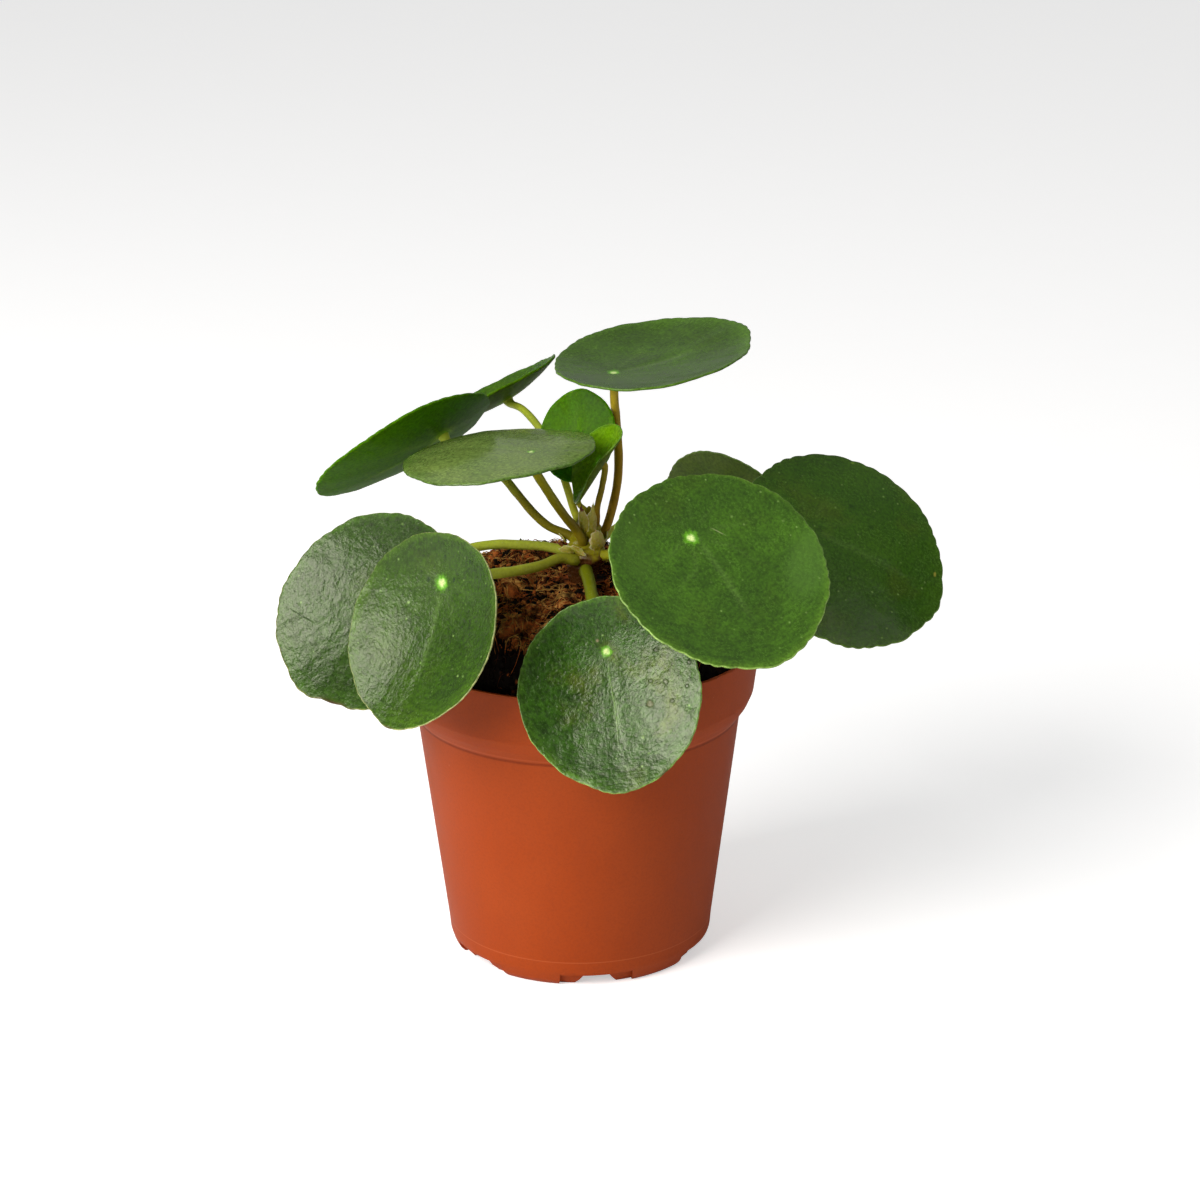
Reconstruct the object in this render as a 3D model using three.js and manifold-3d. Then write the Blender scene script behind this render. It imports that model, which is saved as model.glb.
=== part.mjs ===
// A pilea in a plastic nursery pot: pot, root ball, short stem, twelve stalks and twelve round leaves.
// Millimetres, +Z up, the photograph's view looking along +Y.
import * as THREE from 'three';
import { mergeVertices } from 'three/addons/utils/BufferGeometryUtils.js';
import Module from 'manifold-3d';

const wasm = await Module();
wasm.setup();

// Pot
const POT_HEIGHT = 93.4;
const RIM_RADIUS = 52.5;
const FOOT_RADIUS = 35.8;
const WALL = 1.2;
const POT_SEGMENTS = 48;
const FLOOR_UNDERSIDE = 6;
const SKIRT_INSIDE = 33;
const SKIRT_TOP = 8;
const FLOOR_CORNER = 0.6;
const CORNER_RISE = 0.4;
const COLLAR_CREASE = 70.6;
const RIM_CHAMFER = 0.3;

// Outside of the pot from its foot to its rim, as radius and height
const POT_OUTSIDE = [
  [FOOT_RADIUS, 0],
  [37.3, 1.6],
  [38.3, 4.6],
  [38.6, SKIRT_TOP],
  [46.6, COLLAR_CREASE],
  [47.5, 73],
  [49.2, 75.4],
  [50.6, 78.6],
  [51.5, 85.2],
  [RIM_RADIUS - 0.1, POT_HEIGHT - 0.7],
];
const SKIRT_POINTS = 4;

// Drainage: notches in the foot, each behind a shallow outer recess, and a round hole in the floor for each
const NOTCHES = 6;
const FIRST_NOTCH = -83;
const NOTCH_WIDTH_BELOW = 12;
const NOTCH_WIDTH_ABOVE = 7.6;
const NOTCH_HEIGHT = 3;
const RECESS_WIDTH = 21;
const RECESS_HEIGHT = 3.8;
const RECESS_DEPTH = 1.3;
const CUT_MARGIN = 1;
const DRAIN_RADIUS = 4;
const DRAIN_RING = 24;
const DRAIN_SIDES = 12;
const CUT_FROM = SKIRT_INSIDE - 4;

// Root ball
const GAP = 0.3;
const SOIL_GAP = 0.45;
const SOIL_EDGE = 88;
const SOIL_RISE = 23.6;
const SOIL_ROUNDNESS = 4;
const SOIL_RINGS = 7;
const SOIL_SECTORS = 40;
const SOIL_LUMPS = 1.1;
const SOIL_WAVE = 1.2;
const SOIL_WAVE_X = 6;
const SOIL_WAVE_Y = 7;
const SOIL_TILT = 0.03;
const LUMPS_START = 5;
const LUMPS_FULL = 14;

// Stem, as radius and height on its own leaning axis
const STEM_FOOT = 92;
const STEM_LEAN_FROM = 112;
const STEM_LEAN = 0.1;
const STEM_X = 1.5;
const STEM_SIDES = 16;
const STEM_PROFILE = [
  [3.9, STEM_FOOT],
  [4.1, 112],
  [4.8, 114.4],
  [4.7, 116],
  [5.5, 118],
  [4.8, 120],
  [4.9, 122],
  [4, 124.2],
  [3.9, 126.2],
  [2.6, 128.6],
  [1.2, 131.4],
];
const STEM_TIP = 132.4;
const STEM_HOLE = 4.9;
const STEM_SWELL = 0.07;
const STEM_CORNERS = 3;

// Stalks
const STALK_SIDES = 8;
const STALK_STEPS = 18;
const POCKET_DEPTH = 1.7;
const POCKET_REACH = 6;
const ROOT_STRAIGHT = 3;
const ROOT_FLARE = 0.2;
const ROOT_FLARE_SHARE = 0.15;
const HUB_FLARE = 0.12;
const HUB_FLARE_SHARE = 0.1;

// Leaves
const LEAF_THICKNESS = 0.75;
const LEAF_RINGS = [0.36, 0.7, 1];
const LEAF_SECTORS = 48;
const YOUNG_SECTORS = 32;
const APEX_POINT = 0.04;
const APEX_SPREAD = 0.3;
const LOBES = 12;
const LOBE_DEPTH = 0.011;
const SWELL_DEPTH = 0.012;
const RIPPLE = 0.25;
const BUCKLE = 0.6;
const YOUNG_WAVE = 0.5;

// Each leaf: its hub, the way and angle its face leans, the turn of its apex, the blade's length and width,
// the share of its length by which the hub sits off its middle, and how far its margin drops below the hub.
// Each stalk: the side and height at which it leaves the stem, its climb there, its radius, the points that
// it passes and the straight stretch with which it meets the hub.
const LEAVES = [
  { place: 'top', hub: [10.7, 5, 170], way: -110, lean: 3, turn: 133, size: [55.7, 54], off: 0.22, drop: -3.5,
    stalk: { side: 38, from: 120.5, climb: 40, radius: 1.25, meet: 8,
      via: [[8.2, 3.6, 124.6], [11.4, 6.4, 136], [12, 8.4, 144.5], [11.3, 8.8, 156]] } },
  { place: 'upper_left', hub: [-38.2, 12, 150.4], way: 140, lean: 46, turn: 35, size: [55, 52.5], off: 0.19,
    drop: -3.9,
    stalk: { side: 166, from: 122.3, climb: 28, radius: 1.25, meet: 4,
      via: [[-8, 2, 125.8], [-12.2, 3, 129.3], [-17.2, 4, 135.3], [-21.6, 5.4, 140.2]] } },
  { place: 'centre', hub: [-12.5, -24, 155.7], way: -173, lean: 4, turn: -42, size: [54.4, 52.8], off: 0.21,
    drop: 2,
    stalk: { side: -103, from: 121.8, climb: 50, radius: 1.3, meet: 3,
      via: [[-0.4, -5.4, 127.2], [-3.6, -9, 132.6], [-8.2, -15, 141.8]] } },
  { place: 'back_left', hub: [-20.2, 40, 153], way: 148, lean: 37, turn: -36, size: [44.6, 43.4], off: 0.2,
    drop: -4.6,
    stalk: { side: 138, from: 125.2, climb: 62, radius: 1.1, meet: 3,
      via: [[-0.9, 4.5, 130], [-3.5, 9, 137.4], [-7, 16, 143.7], [-11, 24, 148.2]] } },
  { place: 'young_upright', hub: [-0.1, 5, 147.8], way: -122, lean: 67, turn: 188, size: [26.5, 24.6],
    off: 0.14, drop: 0.2, young: true,
    stalk: { side: 95, from: 127, climb: 72, radius: 0.8, meet: 3,
      via: [[0.6, 3.4, 132], [0, 4.8, 137.5]] } },
  { place: 'young_folded', hub: [8.3, -4.6, 146.6], way: -154, lean: 66, turn: -2, size: [26, 19],
    off: 0.08, drop: 0, young: true, roll: 8,
    stalk: { side: -20, from: 124.5, climb: 76, radius: 0.9, meet: 3,
      via: [[6.2, -2.6, 133], [8.4, -3.6, 139.5]] } },
  { place: 'front_right', hub: [32.4, -34, 134.4], way: -73, lean: 42, turn: 18, size: [62.6, 60.7], off: 0.2,
    drop: -1.4,
    stalk: { side: -38, from: 118, climb: 20, radius: 1.5, meet: 8, via: [[14, -10, 121]] } },
  { place: 'far_right', hub: [67.3, 20, 118.7], way: -65, lean: 44, turn: 52, size: [64.5, 63.5], off: 0.18,
    drop: 2.3,
    stalk: { side: 12, from: 115.5, climb: 24, radius: 1.5, meet: 8,
      via: [[22, 9, 121], [42, 20, 117.4], [55, 25.5, 113]] } },
  { place: 'back_right', hub: [42.9, 52, 122.1], way: 61, lean: 67, turn: -7, size: [43, 41.2], off: 0.21,
    drop: -0.3,
    stalk: { side: 64, from: 117, climb: 24, radius: 1.2, meet: 6, via: [[15, 19, 122]] } },
  { place: 'front', hub: [7.7, -51.6, 107.3], way: -103.5, lean: 76.5, turn: 12.5, size: [52.2, 51.2], off: 0.21,
    drop: -3.2,
    stalk: { side: -82, from: 114, climb: 20, radius: 1.4, meet: 6,
      via: [[2.4, -7.4, 115.6], [3.2, -14, 114.8], [4.6, -28, 112.6]] } },
  { place: 'front_left', hub: [-37, -40, 123.4], way: -132, lean: 72, turn: 5, size: [53.6, 52.2], off: 0.24,
    drop: -4.8,
    stalk: { side: -122, from: 117.4, climb: 15, radius: 1.5, meet: 5,
      via: [[-4.3, -7, 119.3], [-10.5, -13, 119], [-17.4, -20, 119.9], [-24.3, -26, 121]] } },
  { place: 'far_left', hub: [-48.5, -20, 118.1], way: -112, lean: 62, turn: -30, size: [57.2, 55.5],
    off: 0.22, drop: -2.8,
    stalk: { side: 178, from: 118.6, climb: 14, radius: 1.4, meet: 4,
      via: [[-9.2, 0.5, 120.3], [-16.3, 0, 121], [-23.4, -1, 121.5], [-31, -3, 120.8], [-40, -8.6, 118]] } },
];

// Papery scales at the crown: where each is rooted, the way and angle it faces, its turn, length and width
const SCALES = [
  { at: [3.6, -2.2, 125.5], way: -60, lean: 80, turn: 180, size: [10, 5] },
  { at: [1.4, 0.4, 126], way: -170, lean: 75, turn: 175, size: [7, 5] },
  { at: [5.6, -3, 121.5], way: -50, lean: 42, turn: 200, size: [6.5, 6.5] },
  { at: [0.4, -3.6, 118.2], way: -110, lean: 58, turn: -105, size: [7.5, 4] },
];
const SCALE_THICKNESS = 0.6;
const SCALE_ROLL = 3;
const SCALE_OFF = -0.4;
const SCALE_RINGS = [0.5, 1];
const SCALE_SECTORS = 12;

const material = (color, roughness) => new THREE.MeshStandardMaterial({ color, roughness, metalness: 0 });
const FINISH = {
  pot: material(0xb4532f, 0.55),
  soil: material(0x3a241a, 0.95),
  stem: material(0x7d7a3c, 0.7),
  stalk: material(0x8a9a45, 0.45),
  leaf: material(0x3f6a30, 0.4),
  young: material(0x6fae2e, 0.4),
};

const radians = THREE.MathUtils.degToRad;

// Repeatable draws between -1 and 1
function drawsFrom(seed) {
  let state = seed;
  return () => {
    state = (state * 16807) % 2147483647;
    return (state / 2147483647) * 2 - 1;
  };
}

function closedGeometry(points, faces) {
  const geometry = new THREE.BufferGeometry();
  geometry.setAttribute('position', new THREE.Float32BufferAttribute(points, 3));
  geometry.setIndex(faces);
  geometry.computeVertexNormals();
  return geometry;
}

// Only positions, with shared corners joined and faces that have shrunk to a line left out
function weld(geometry) {
  const bare = geometry.clone();
  bare.deleteAttribute('normal');
  bare.deleteAttribute('uv');
  const merged = mergeVertices(bare, 1e-4);
  const index = merged.index.array;
  const faces = [];
  for (let i = 0; i < index.length; i += 3) {
    const [a, b, c] = [index[i], index[i + 1], index[i + 2]];
    if (a !== b && b !== c && c !== a) faces.push(a, b, c);
  }
  return closedGeometry(Array.from(merged.attributes.position.array), faces);
}

function solidOf(geometry) {
  const welded = weld(geometry);
  return new wasm.Manifold(new wasm.Mesh({
    numProp: 3,
    vertProperties: new Float32Array(welded.attributes.position.array),
    triVerts: new Uint32Array(welded.index.array),
  }));
}

// What is left once the loose scraps of a cut are dropped
function largestBody(solid) {
  return solid.decompose().reduce((best, body) => (body.volume() > best.volume() ? body : best));
}

function geometryOf(solid) {
  const mesh = solid.getMesh();
  return closedGeometry(Array.from(mesh.vertProperties), Array.from(mesh.triVerts));
}

// A profile of radius and height turned about the upright axis
function turned(profile, segments) {
  const points = profile.map(([radius, height]) => new THREE.Vector2(radius, height));
  return new THREE.LatheGeometry(points, segments).rotateX(Math.PI / 2);
}

function insideRadius(height) {
  const above = POT_OUTSIDE.findIndex((point) => point[1] >= height);
  const [r0, z0] = POT_OUTSIDE[above - 1];
  const [r1, z1] = POT_OUTSIDE[above];
  return r0 + ((r1 - r0) * (height - z0)) / (z1 - z0) - WALL;
}

// A shape in the X-Z plane pushed along Y from near to far, then turned to face the given side
function radialCutter(shape, near, far, side) {
  return new THREE.ExtrudeGeometry(shape, { depth: far - near, bevelEnabled: false })
    .rotateX(Math.PI / 2)
    .translate(0, far, 0)
    .rotateZ(radians(side - 90));
}

function notchShape() {
  const shape = new THREE.Shape();
  shape.moveTo(-NOTCH_WIDTH_BELOW / 2, -CUT_MARGIN);
  shape.lineTo(NOTCH_WIDTH_BELOW / 2, -CUT_MARGIN);
  shape.lineTo(NOTCH_WIDTH_BELOW / 2, 0);
  shape.lineTo(NOTCH_WIDTH_ABOVE / 2, NOTCH_HEIGHT);
  shape.lineTo(-NOTCH_WIDTH_ABOVE / 2, NOTCH_HEIGHT);
  shape.lineTo(-NOTCH_WIDTH_BELOW / 2, 0);
  return shape;
}

function pot() {
  const floorTop = FLOOR_UNDERSIDE + WALL;
  const inside = POT_OUTSIDE
    .filter(([, height]) => height > SKIRT_TOP)
    .map(([radius, height]) => [radius - WALL, height])
    .reverse();
  const body = solidOf(turned([
    [0, FLOOR_UNDERSIDE],
    [SKIRT_INSIDE, FLOOR_UNDERSIDE],
    [SKIRT_INSIDE, 0],
    ...POT_OUTSIDE,
    [RIM_RADIUS, POT_HEIGHT - RIM_CHAMFER],
    [RIM_RADIUS - RIM_CHAMFER, POT_HEIGHT],
    [RIM_RADIUS - WALL + RIM_CHAMFER, POT_HEIGHT],
    ...inside,
    [insideRadius(SKIRT_TOP + CORNER_RISE), SKIRT_TOP + CORNER_RISE],
    [FOOT_RADIUS + FLOOR_CORNER, floorTop],
    [0, floorTop],
  ], POT_SEGMENTS));

  // What a recess leaves standing: the pot's outside drawn in by the recess's depth
  const behindRecess = solidOf(turned([
    [0, -CUT_MARGIN],
    [FOOT_RADIUS - RECESS_DEPTH, -CUT_MARGIN],
    ...POT_OUTSIDE.slice(0, SKIRT_POINTS).map(([radius, height]) => [radius - RECESS_DEPTH, height]),
    [0, SKIRT_TOP],
  ], POT_SEGMENTS));

  const recess = new THREE.Shape();
  recess.moveTo(-RECESS_WIDTH / 2, -CUT_MARGIN / 2);
  recess.lineTo(RECESS_WIDTH / 2, -CUT_MARGIN / 2);
  recess.lineTo(RECESS_WIDTH / 2, RECESS_HEIGHT);
  recess.lineTo(-RECESS_WIDTH / 2, RECESS_HEIGHT);

  let made = body;
  for (let i = 0; i < NOTCHES; i += 1) {
    const side = FIRST_NOTCH + (i * 360) / NOTCHES;
    const outer = solidOf(radialCutter(recess, CUT_FROM, RIM_RADIUS, side)).subtract(behindRecess);
    const through = solidOf(radialCutter(notchShape(), CUT_FROM, RIM_RADIUS, side));
    const drain = solidOf(new THREE.CylinderGeometry(DRAIN_RADIUS, DRAIN_RADIUS, 4 * WALL, DRAIN_SIDES)
      .rotateX(Math.PI / 2)
      .translate(DRAIN_RING, 0, FLOOR_UNDERSIDE + WALL / 2)
      .rotateZ(radians(side)));
    made = made.subtract(outer).subtract(through).subtract(drain);
  }
  return geometryOf(made);
}

function stemAxisX(height) {
  return STEM_X + Math.max(0, height - STEM_LEAN_FROM) * STEM_LEAN;
}

function soil() {
  const bottom = FLOOR_UNDERSIDE + WALL + GAP;
  const sides = POT_OUTSIDE
    .map((point) => point[1])
    .filter((height) => height > SKIRT_TOP && height < SOIL_EDGE)
    .map((height) => [insideRadius(height) - SOIL_GAP, height]);
  const edge = insideRadius(SOIL_EDGE) - SOIL_GAP;
  const top = [];
  for (let ring = SOIL_RINGS; ring > 0; ring -= 1) {
    const share = (ring - 0.5) / SOIL_RINGS;
    top.push([edge * share, SOIL_EDGE + SOIL_RISE * (1 - share ** SOIL_ROUNDNESS)]);
  }
  const geometry = weld(turned([
    [0, bottom],
    [FOOT_RADIUS + FLOOR_CORNER - SOIL_GAP, bottom],
    [insideRadius(SKIRT_TOP + CORNER_RISE) - SOIL_GAP, SKIRT_TOP + CORNER_RISE + GAP],
    ...sides,
    [edge, SOIL_EDGE],
    ...top,
    [0, SOIL_EDGE + SOIL_RISE],
  ], SOIL_SECTORS));

  // Lumps, a lower front and a higher back left, fading out to the stem and to the wall
  const draw = drawsFrom(71);
  const place = geometry.attributes.position;
  for (let i = 0; i < place.count; i += 1) {
    const [x, y, z] = [place.getX(i), place.getY(i), place.getZ(i)];
    const share = Math.hypot(x, y) / edge;
    if (z > SOIL_EDGE + GAP) {
      const wave = SOIL_WAVE * Math.sin(x / SOIL_WAVE_X) * Math.cos(y / SOIL_WAVE_Y);
      const lump = draw() * SOIL_LUMPS + wave + (y - x) * SOIL_TILT;
      const offStem = THREE.MathUtils.smoothstep(share * edge, LUMPS_START, LUMPS_FULL);
      place.setZ(i, z + lump * offStem * (1 - share ** 3));
    }
  }
  const holeLength = STEM_TIP - STEM_FOOT;
  const hole = new THREE.CylinderGeometry(STEM_HOLE, STEM_HOLE, holeLength, STEM_SIDES)
    .rotateX(Math.PI / 2)
    .translate(STEM_X, 0, STEM_FOOT - GAP + holeLength / 2);
  return geometryOf(solidOf(geometry).subtract(solidOf(hole)));
}

// A blade in its own frame: hub at the origin, apex towards +X, upper face towards +Z. Both faces share one
// grid of sectors and rings, so they split into triangles alike.
function blade({ size, off, drop, roll, sectors, thickness, rings, wave, seed }) {
  const [length, width] = size;
  const draw = drawsFrom(seed);
  const phases = [draw(), draw(), draw(), draw()].map((value) => value * Math.PI);
  const outline = (angle) => {
    const fromApex = angle > Math.PI ? angle - 2 * Math.PI : angle;
    const reach = 1
      + APEX_POINT * Math.exp(-((fromApex / APEX_SPREAD) ** 2))
      + wave * LOBE_DEPTH * Math.sin(LOBES * angle + phases[0])
      + wave * SWELL_DEPTH * Math.sin(3 * angle + phases[1]);
    return [off * length + (length / 2) * Math.cos(angle) * reach, (width / 2) * Math.sin(angle) * reach];
  };
  const upper = [0, 0, thickness / 2];
  for (const share of rings) {
    for (let s = 0; s < sectors; s += 1) {
      const angle = (2 * Math.PI * s) / sectors;
      const [x, y] = outline(angle).map((value) => value * share);
      const fall = -drop * ((2 * x / length) ** 2 + (2 * y / width) ** 2);
      const ripple = wave * (share ** 4 * RIPPLE * Math.sin(LOBES * angle + phases[2])
        + share ** 2 * BUCKLE * Math.sin(4 * angle + phases[3]));
      const rolled = roll ? roll * Math.sin(y / roll) : y;
      const lift = roll ? roll * (1 - Math.cos(y / roll)) : 0;
      upper.push(x, rolled, fall + ripple + lift + thickness / 2);
    }
  }
  const lower = upper.map((value, i) => (i % 3 === 2 ? value - thickness : value));
  const count = upper.length / 3;
  const at = (ring, s) => 1 + ring * sectors + (s % sectors);
  const faces = [];
  const both = (a, b, c) => faces.push(a, b, c, a + count, c + count, b + count);
  const last = rings.length - 1;
  for (let s = 0; s < sectors; s += 1) {
    both(0, at(0, s), at(0, s + 1));
    for (let ring = 0; ring < last; ring += 1) {
      both(at(ring, s), at(ring + 1, s), at(ring + 1, s + 1));
      both(at(ring, s), at(ring + 1, s + 1), at(ring, s + 1));
    }
    const [a, b] = [at(last, s), at(last, s + 1)];
    faces.push(a, a + count, b + count, a, b + count, b);
  }
  return closedGeometry([...upper, ...lower], faces);
}

// A tube of changing radius with closed ends
function taperedTube(curve, radiusAt) {
  const { normals, binormals } = curve.computeFrenetFrames(STALK_STEPS, false);
  const points = [];
  for (let i = 0; i <= STALK_STEPS; i += 1) {
    const centre = curve.getPointAt(i / STALK_STEPS);
    const radius = radiusAt(i / STALK_STEPS);
    for (let s = 0; s < STALK_SIDES; s += 1) {
      const angle = (2 * Math.PI * s) / STALK_SIDES;
      const point = centre.clone()
        .addScaledVector(normals[i], radius * Math.cos(angle))
        .addScaledVector(binormals[i], radius * Math.sin(angle));
      points.push(...point);
    }
  }
  const startCentre = points.length / 3;
  points.push(...curve.getPointAt(0), ...curve.getPointAt(1));
  const at = (step, s) => step * STALK_SIDES + (s % STALK_SIDES);
  const faces = [];
  for (let s = 0; s < STALK_SIDES; s += 1) {
    for (let i = 0; i < STALK_STEPS; i += 1) {
      faces.push(at(i, s), at(i, s + 1), at(i + 1, s + 1), at(i, s), at(i + 1, s + 1), at(i + 1, s));
    }
    faces.push(startCentre, at(0, s + 1), at(0, s));
    faces.push(startCentre + 1, at(STALK_STEPS, s), at(STALK_STEPS, s + 1));
  }
  return closedGeometry(points, faces);
}

function stemRadius(height) {
  const above = STEM_PROFILE.findIndex((point) => point[1] >= height);
  const [r0, z0] = STEM_PROFILE[above - 1];
  const [r1, z1] = STEM_PROFILE[above];
  return r0 + ((r1 - r0) * (height - z0)) / (z1 - z0);
}

function faceWay(way, lean) {
  return new THREE.Vector3(0, 0, 1).applyEuler(new THREE.Euler(0, radians(lean), radians(way), 'ZYX'));
}

function stalkCurve(leaf) {
  const { side, from, climb, via, meet } = leaf.stalk;
  const leave = new THREE.Vector3(
    Math.cos(radians(side)) * Math.cos(radians(climb)),
    Math.sin(radians(side)) * Math.cos(radians(climb)),
    Math.sin(radians(climb)),
  );
  const depth = stemRadius(from) - POCKET_DEPTH;
  const root = new THREE.Vector3(
    stemAxisX(from) + depth * Math.cos(radians(side)),
    depth * Math.sin(radians(side)),
    from,
  );
  const face = faceWay(leaf.way, leaf.lean);
  const end = new THREE.Vector3(...leaf.hub).addScaledVector(face, -LEAF_THICKNESS / 2 - GAP);
  return new THREE.CatmullRomCurve3([
    root,
    root.clone().addScaledVector(leave, ROOT_STRAIGHT),
    ...via.map((point) => new THREE.Vector3(...point)),
    end.clone().addScaledVector(face, -meet),
    end,
  ], false, 'centripetal');
}

// A stalk widens towards its root and towards the hub
function stalkRadius(leaf, share) {
  const root = Math.max(0, 1 - share / ROOT_FLARE_SHARE) ** 2;
  const hub = Math.max(0, 1 - (1 - share) / HUB_FLARE_SHARE);
  return leaf.stalk.radius * (1 + ROOT_FLARE * root + HUB_FLARE * hub);
}

function pocketCutter(leaf) {
  const curve = stalkCurve(leaf);
  const start = curve.getPointAt(0);
  const along = curve.getTangentAt(0);
  const radius = leaf.stalk.radius * (1 + ROOT_FLARE) + GAP;
  const turn = new THREE.Quaternion().setFromUnitVectors(new THREE.Vector3(0, 1, 0), along);
  return new THREE.CylinderGeometry(radius, radius, POCKET_REACH + GAP, STALK_SIDES)
    .translate(0, (POCKET_REACH - GAP) / 2, 0)
    .applyQuaternion(turn)
    .translate(...start);
}

function stem() {
  const geometry = weld(turned([[0, STEM_FOOT], ...STEM_PROFILE, [0, STEM_TIP]], STEM_SIDES));
  const place = geometry.attributes.position;
  for (let i = 0; i < place.count; i += 1) {
    const [x, y, z] = [place.getX(i), place.getY(i), place.getZ(i)];
    const angle = Math.atan2(y, x);
    const swell = z > STEM_LEAN_FROM ? 1 + STEM_SWELL * Math.sin(STEM_CORNERS * angle + z) : 1;
    place.setXYZ(i, x * swell + stemAxisX(z), y * swell, z);
  }
  let made = solidOf(geometry);
  SCALES.forEach((scale, i) => {
    const leafy = blade({
      size: scale.size,
      off: SCALE_OFF,
      drop: 0,
      roll: SCALE_ROLL,
      sectors: SCALE_SECTORS,
      thickness: SCALE_THICKNESS,
      rings: SCALE_RINGS,
      wave: 0,
      seed: 900 + i,
    });
    leafy.rotateZ(radians(scale.turn));
    leafy.rotateY(radians(scale.lean));
    leafy.rotateZ(radians(scale.way));
    leafy.translate(...scale.at);
    made = made.add(solidOf(leafy));
  });
  for (const leaf of LEAVES) made = made.subtract(solidOf(pocketCutter(leaf)));
  return geometryOf(largestBody(made));
}

const plant = new THREE.Group();
const foliage = new THREE.Group();
const holder = new THREE.Group();

function addMesh(parent, name, geometry, finish) {
  const mesh = new THREE.Mesh(geometry, finish);
  mesh.name = name;
  parent.add(mesh);
  return mesh;
}

addMesh(holder, 'pot', pot(), FINISH.pot);
addMesh(holder, 'soil', soil(), FINISH.soil);
addMesh(foliage, 'stem', stem(), FINISH.stem);

LEAVES.forEach((leaf, i) => {
  const tube = taperedTube(stalkCurve(leaf), (share) => stalkRadius(leaf, share));
  addMesh(foliage, `petiole_${leaf.place}`, tube, FINISH.stalk);

  const seat = new THREE.Group();
  seat.position.set(...leaf.hub);
  seat.rotation.set(0, radians(leaf.lean), radians(leaf.way), 'ZYX');
  foliage.add(seat);
  const shape = blade({
    ...leaf,
    sectors: leaf.young ? YOUNG_SECTORS : LEAF_SECTORS,
    thickness: LEAF_THICKNESS,
    rings: LEAF_RINGS,
    wave: leaf.young ? YOUNG_WAVE : 1,
    seed: 300 + 17 * i,
  });
  const mesh = addMesh(seat, `leaf_${leaf.place}`, shape, leaf.young ? FINISH.young : FINISH.leaf);
  mesh.rotation.z = radians(leaf.turn);
});

// The origin is on the floor, at the middle of the whole plant's spread
plant.add(holder, foliage);
const spread = new THREE.Box3().setFromObject(plant, true).getCenter(new THREE.Vector3());
plant.position.set(-spread.x, -spread.y, 0);

export default plant;
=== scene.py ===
import math
from dataclasses import dataclass

import bpy
import numpy as np
from bpy.props import FloatProperty, FloatVectorProperty, IntProperty, PointerProperty
from mathutils import Matrix, Vector


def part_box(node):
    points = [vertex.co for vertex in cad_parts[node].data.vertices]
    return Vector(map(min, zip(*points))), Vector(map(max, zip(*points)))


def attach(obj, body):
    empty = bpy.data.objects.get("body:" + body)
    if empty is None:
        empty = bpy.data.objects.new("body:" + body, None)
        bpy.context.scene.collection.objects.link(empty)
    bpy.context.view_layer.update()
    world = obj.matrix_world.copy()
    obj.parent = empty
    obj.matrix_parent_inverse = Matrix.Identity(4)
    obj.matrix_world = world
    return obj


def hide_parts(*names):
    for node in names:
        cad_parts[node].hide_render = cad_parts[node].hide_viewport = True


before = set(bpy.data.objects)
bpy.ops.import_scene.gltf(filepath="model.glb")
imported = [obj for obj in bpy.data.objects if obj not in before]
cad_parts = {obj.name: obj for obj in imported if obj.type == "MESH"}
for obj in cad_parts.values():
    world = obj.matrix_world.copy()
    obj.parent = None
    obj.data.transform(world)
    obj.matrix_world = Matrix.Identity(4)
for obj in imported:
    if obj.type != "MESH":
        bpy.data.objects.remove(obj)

bl_info = {
    "name": "Potted Pilea",
    "version": (1, 0, 0),
    "blender": (4, 5, 0),
    "location": "3D View > Sidebar > Pilea",
    "description": "Builds a potted pilea plant: pot, root ball, stem, stalks, round leaves and a pale studio",
    "category": "Add Mesh",
}

# Metres throughout. Places are measured from the pot's axis on the floor, with the view looking along +Y.

# Outside of the pot, as radius and height
POT_OUTSIDE = (
    (0.0358, 0.0), (0.0373, 0.0016), (0.0383, 0.0046), (0.0386, 0.008), (0.04675, 0.0720), (0.0473, 0.0727),
    (0.0492, 0.0754), (0.0506, 0.0786), (0.0515, 0.0852), (0.0524, 0.0927),
)
POT_HEIGHT = 0.0934
RIM_RADIUS = 0.0525
WALL = 0.0012
FLOOR_UNDERSIDE = 0.006
SKIRT_INSIDE = 0.033
NOTCHES = 6
FIRST_NOTCH = -83.0
NOTCH_BELOW = 0.012
NOTCH_ABOVE = 0.0076
NOTCH_HEIGHT = 0.003
RECESS_WIDTH = 0.021
RECESS_HEIGHT = 0.0038
RECESS_DEPTH = 0.0013
DRAIN_RADIUS = 0.004
DRAIN_RING = 0.024
FOOT_INSIDE = 0.029
FOOT_TOP = 0.008
CORNER = 0.0006
CUTTER_REACH = 0.045
POT_SIDES = 192
NEAR_AXIS = 0.0001

# Painted light and shade round the pot: a painted highlight along the foot's parting line and along the collar's
# lip, and a painted shadow under the collar; height, half width, strength and colour
POT_PAINTED_LIGHT_LINES = (
    (0.0080, 0.00025, 0.3, (0.6, 0.15, 0.05)),
    (0.0729, 0.0004, 0.25, (0.6, 0.15, 0.05)),
    (0.0717, 0.0006, 0.5, (0.11, 0.012, 0.002)),
)

# Root ball
SOIL_EDGE = 0.088
SOIL_RISE = 0.0223
SOIL_INSIDE = 0.0503
SOIL_GAP = 0.00045
STEM_ROOM = 0.0058
SOIL_SIDES = 280
SOIL_RINGS = 110
CLODS = 520

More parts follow.
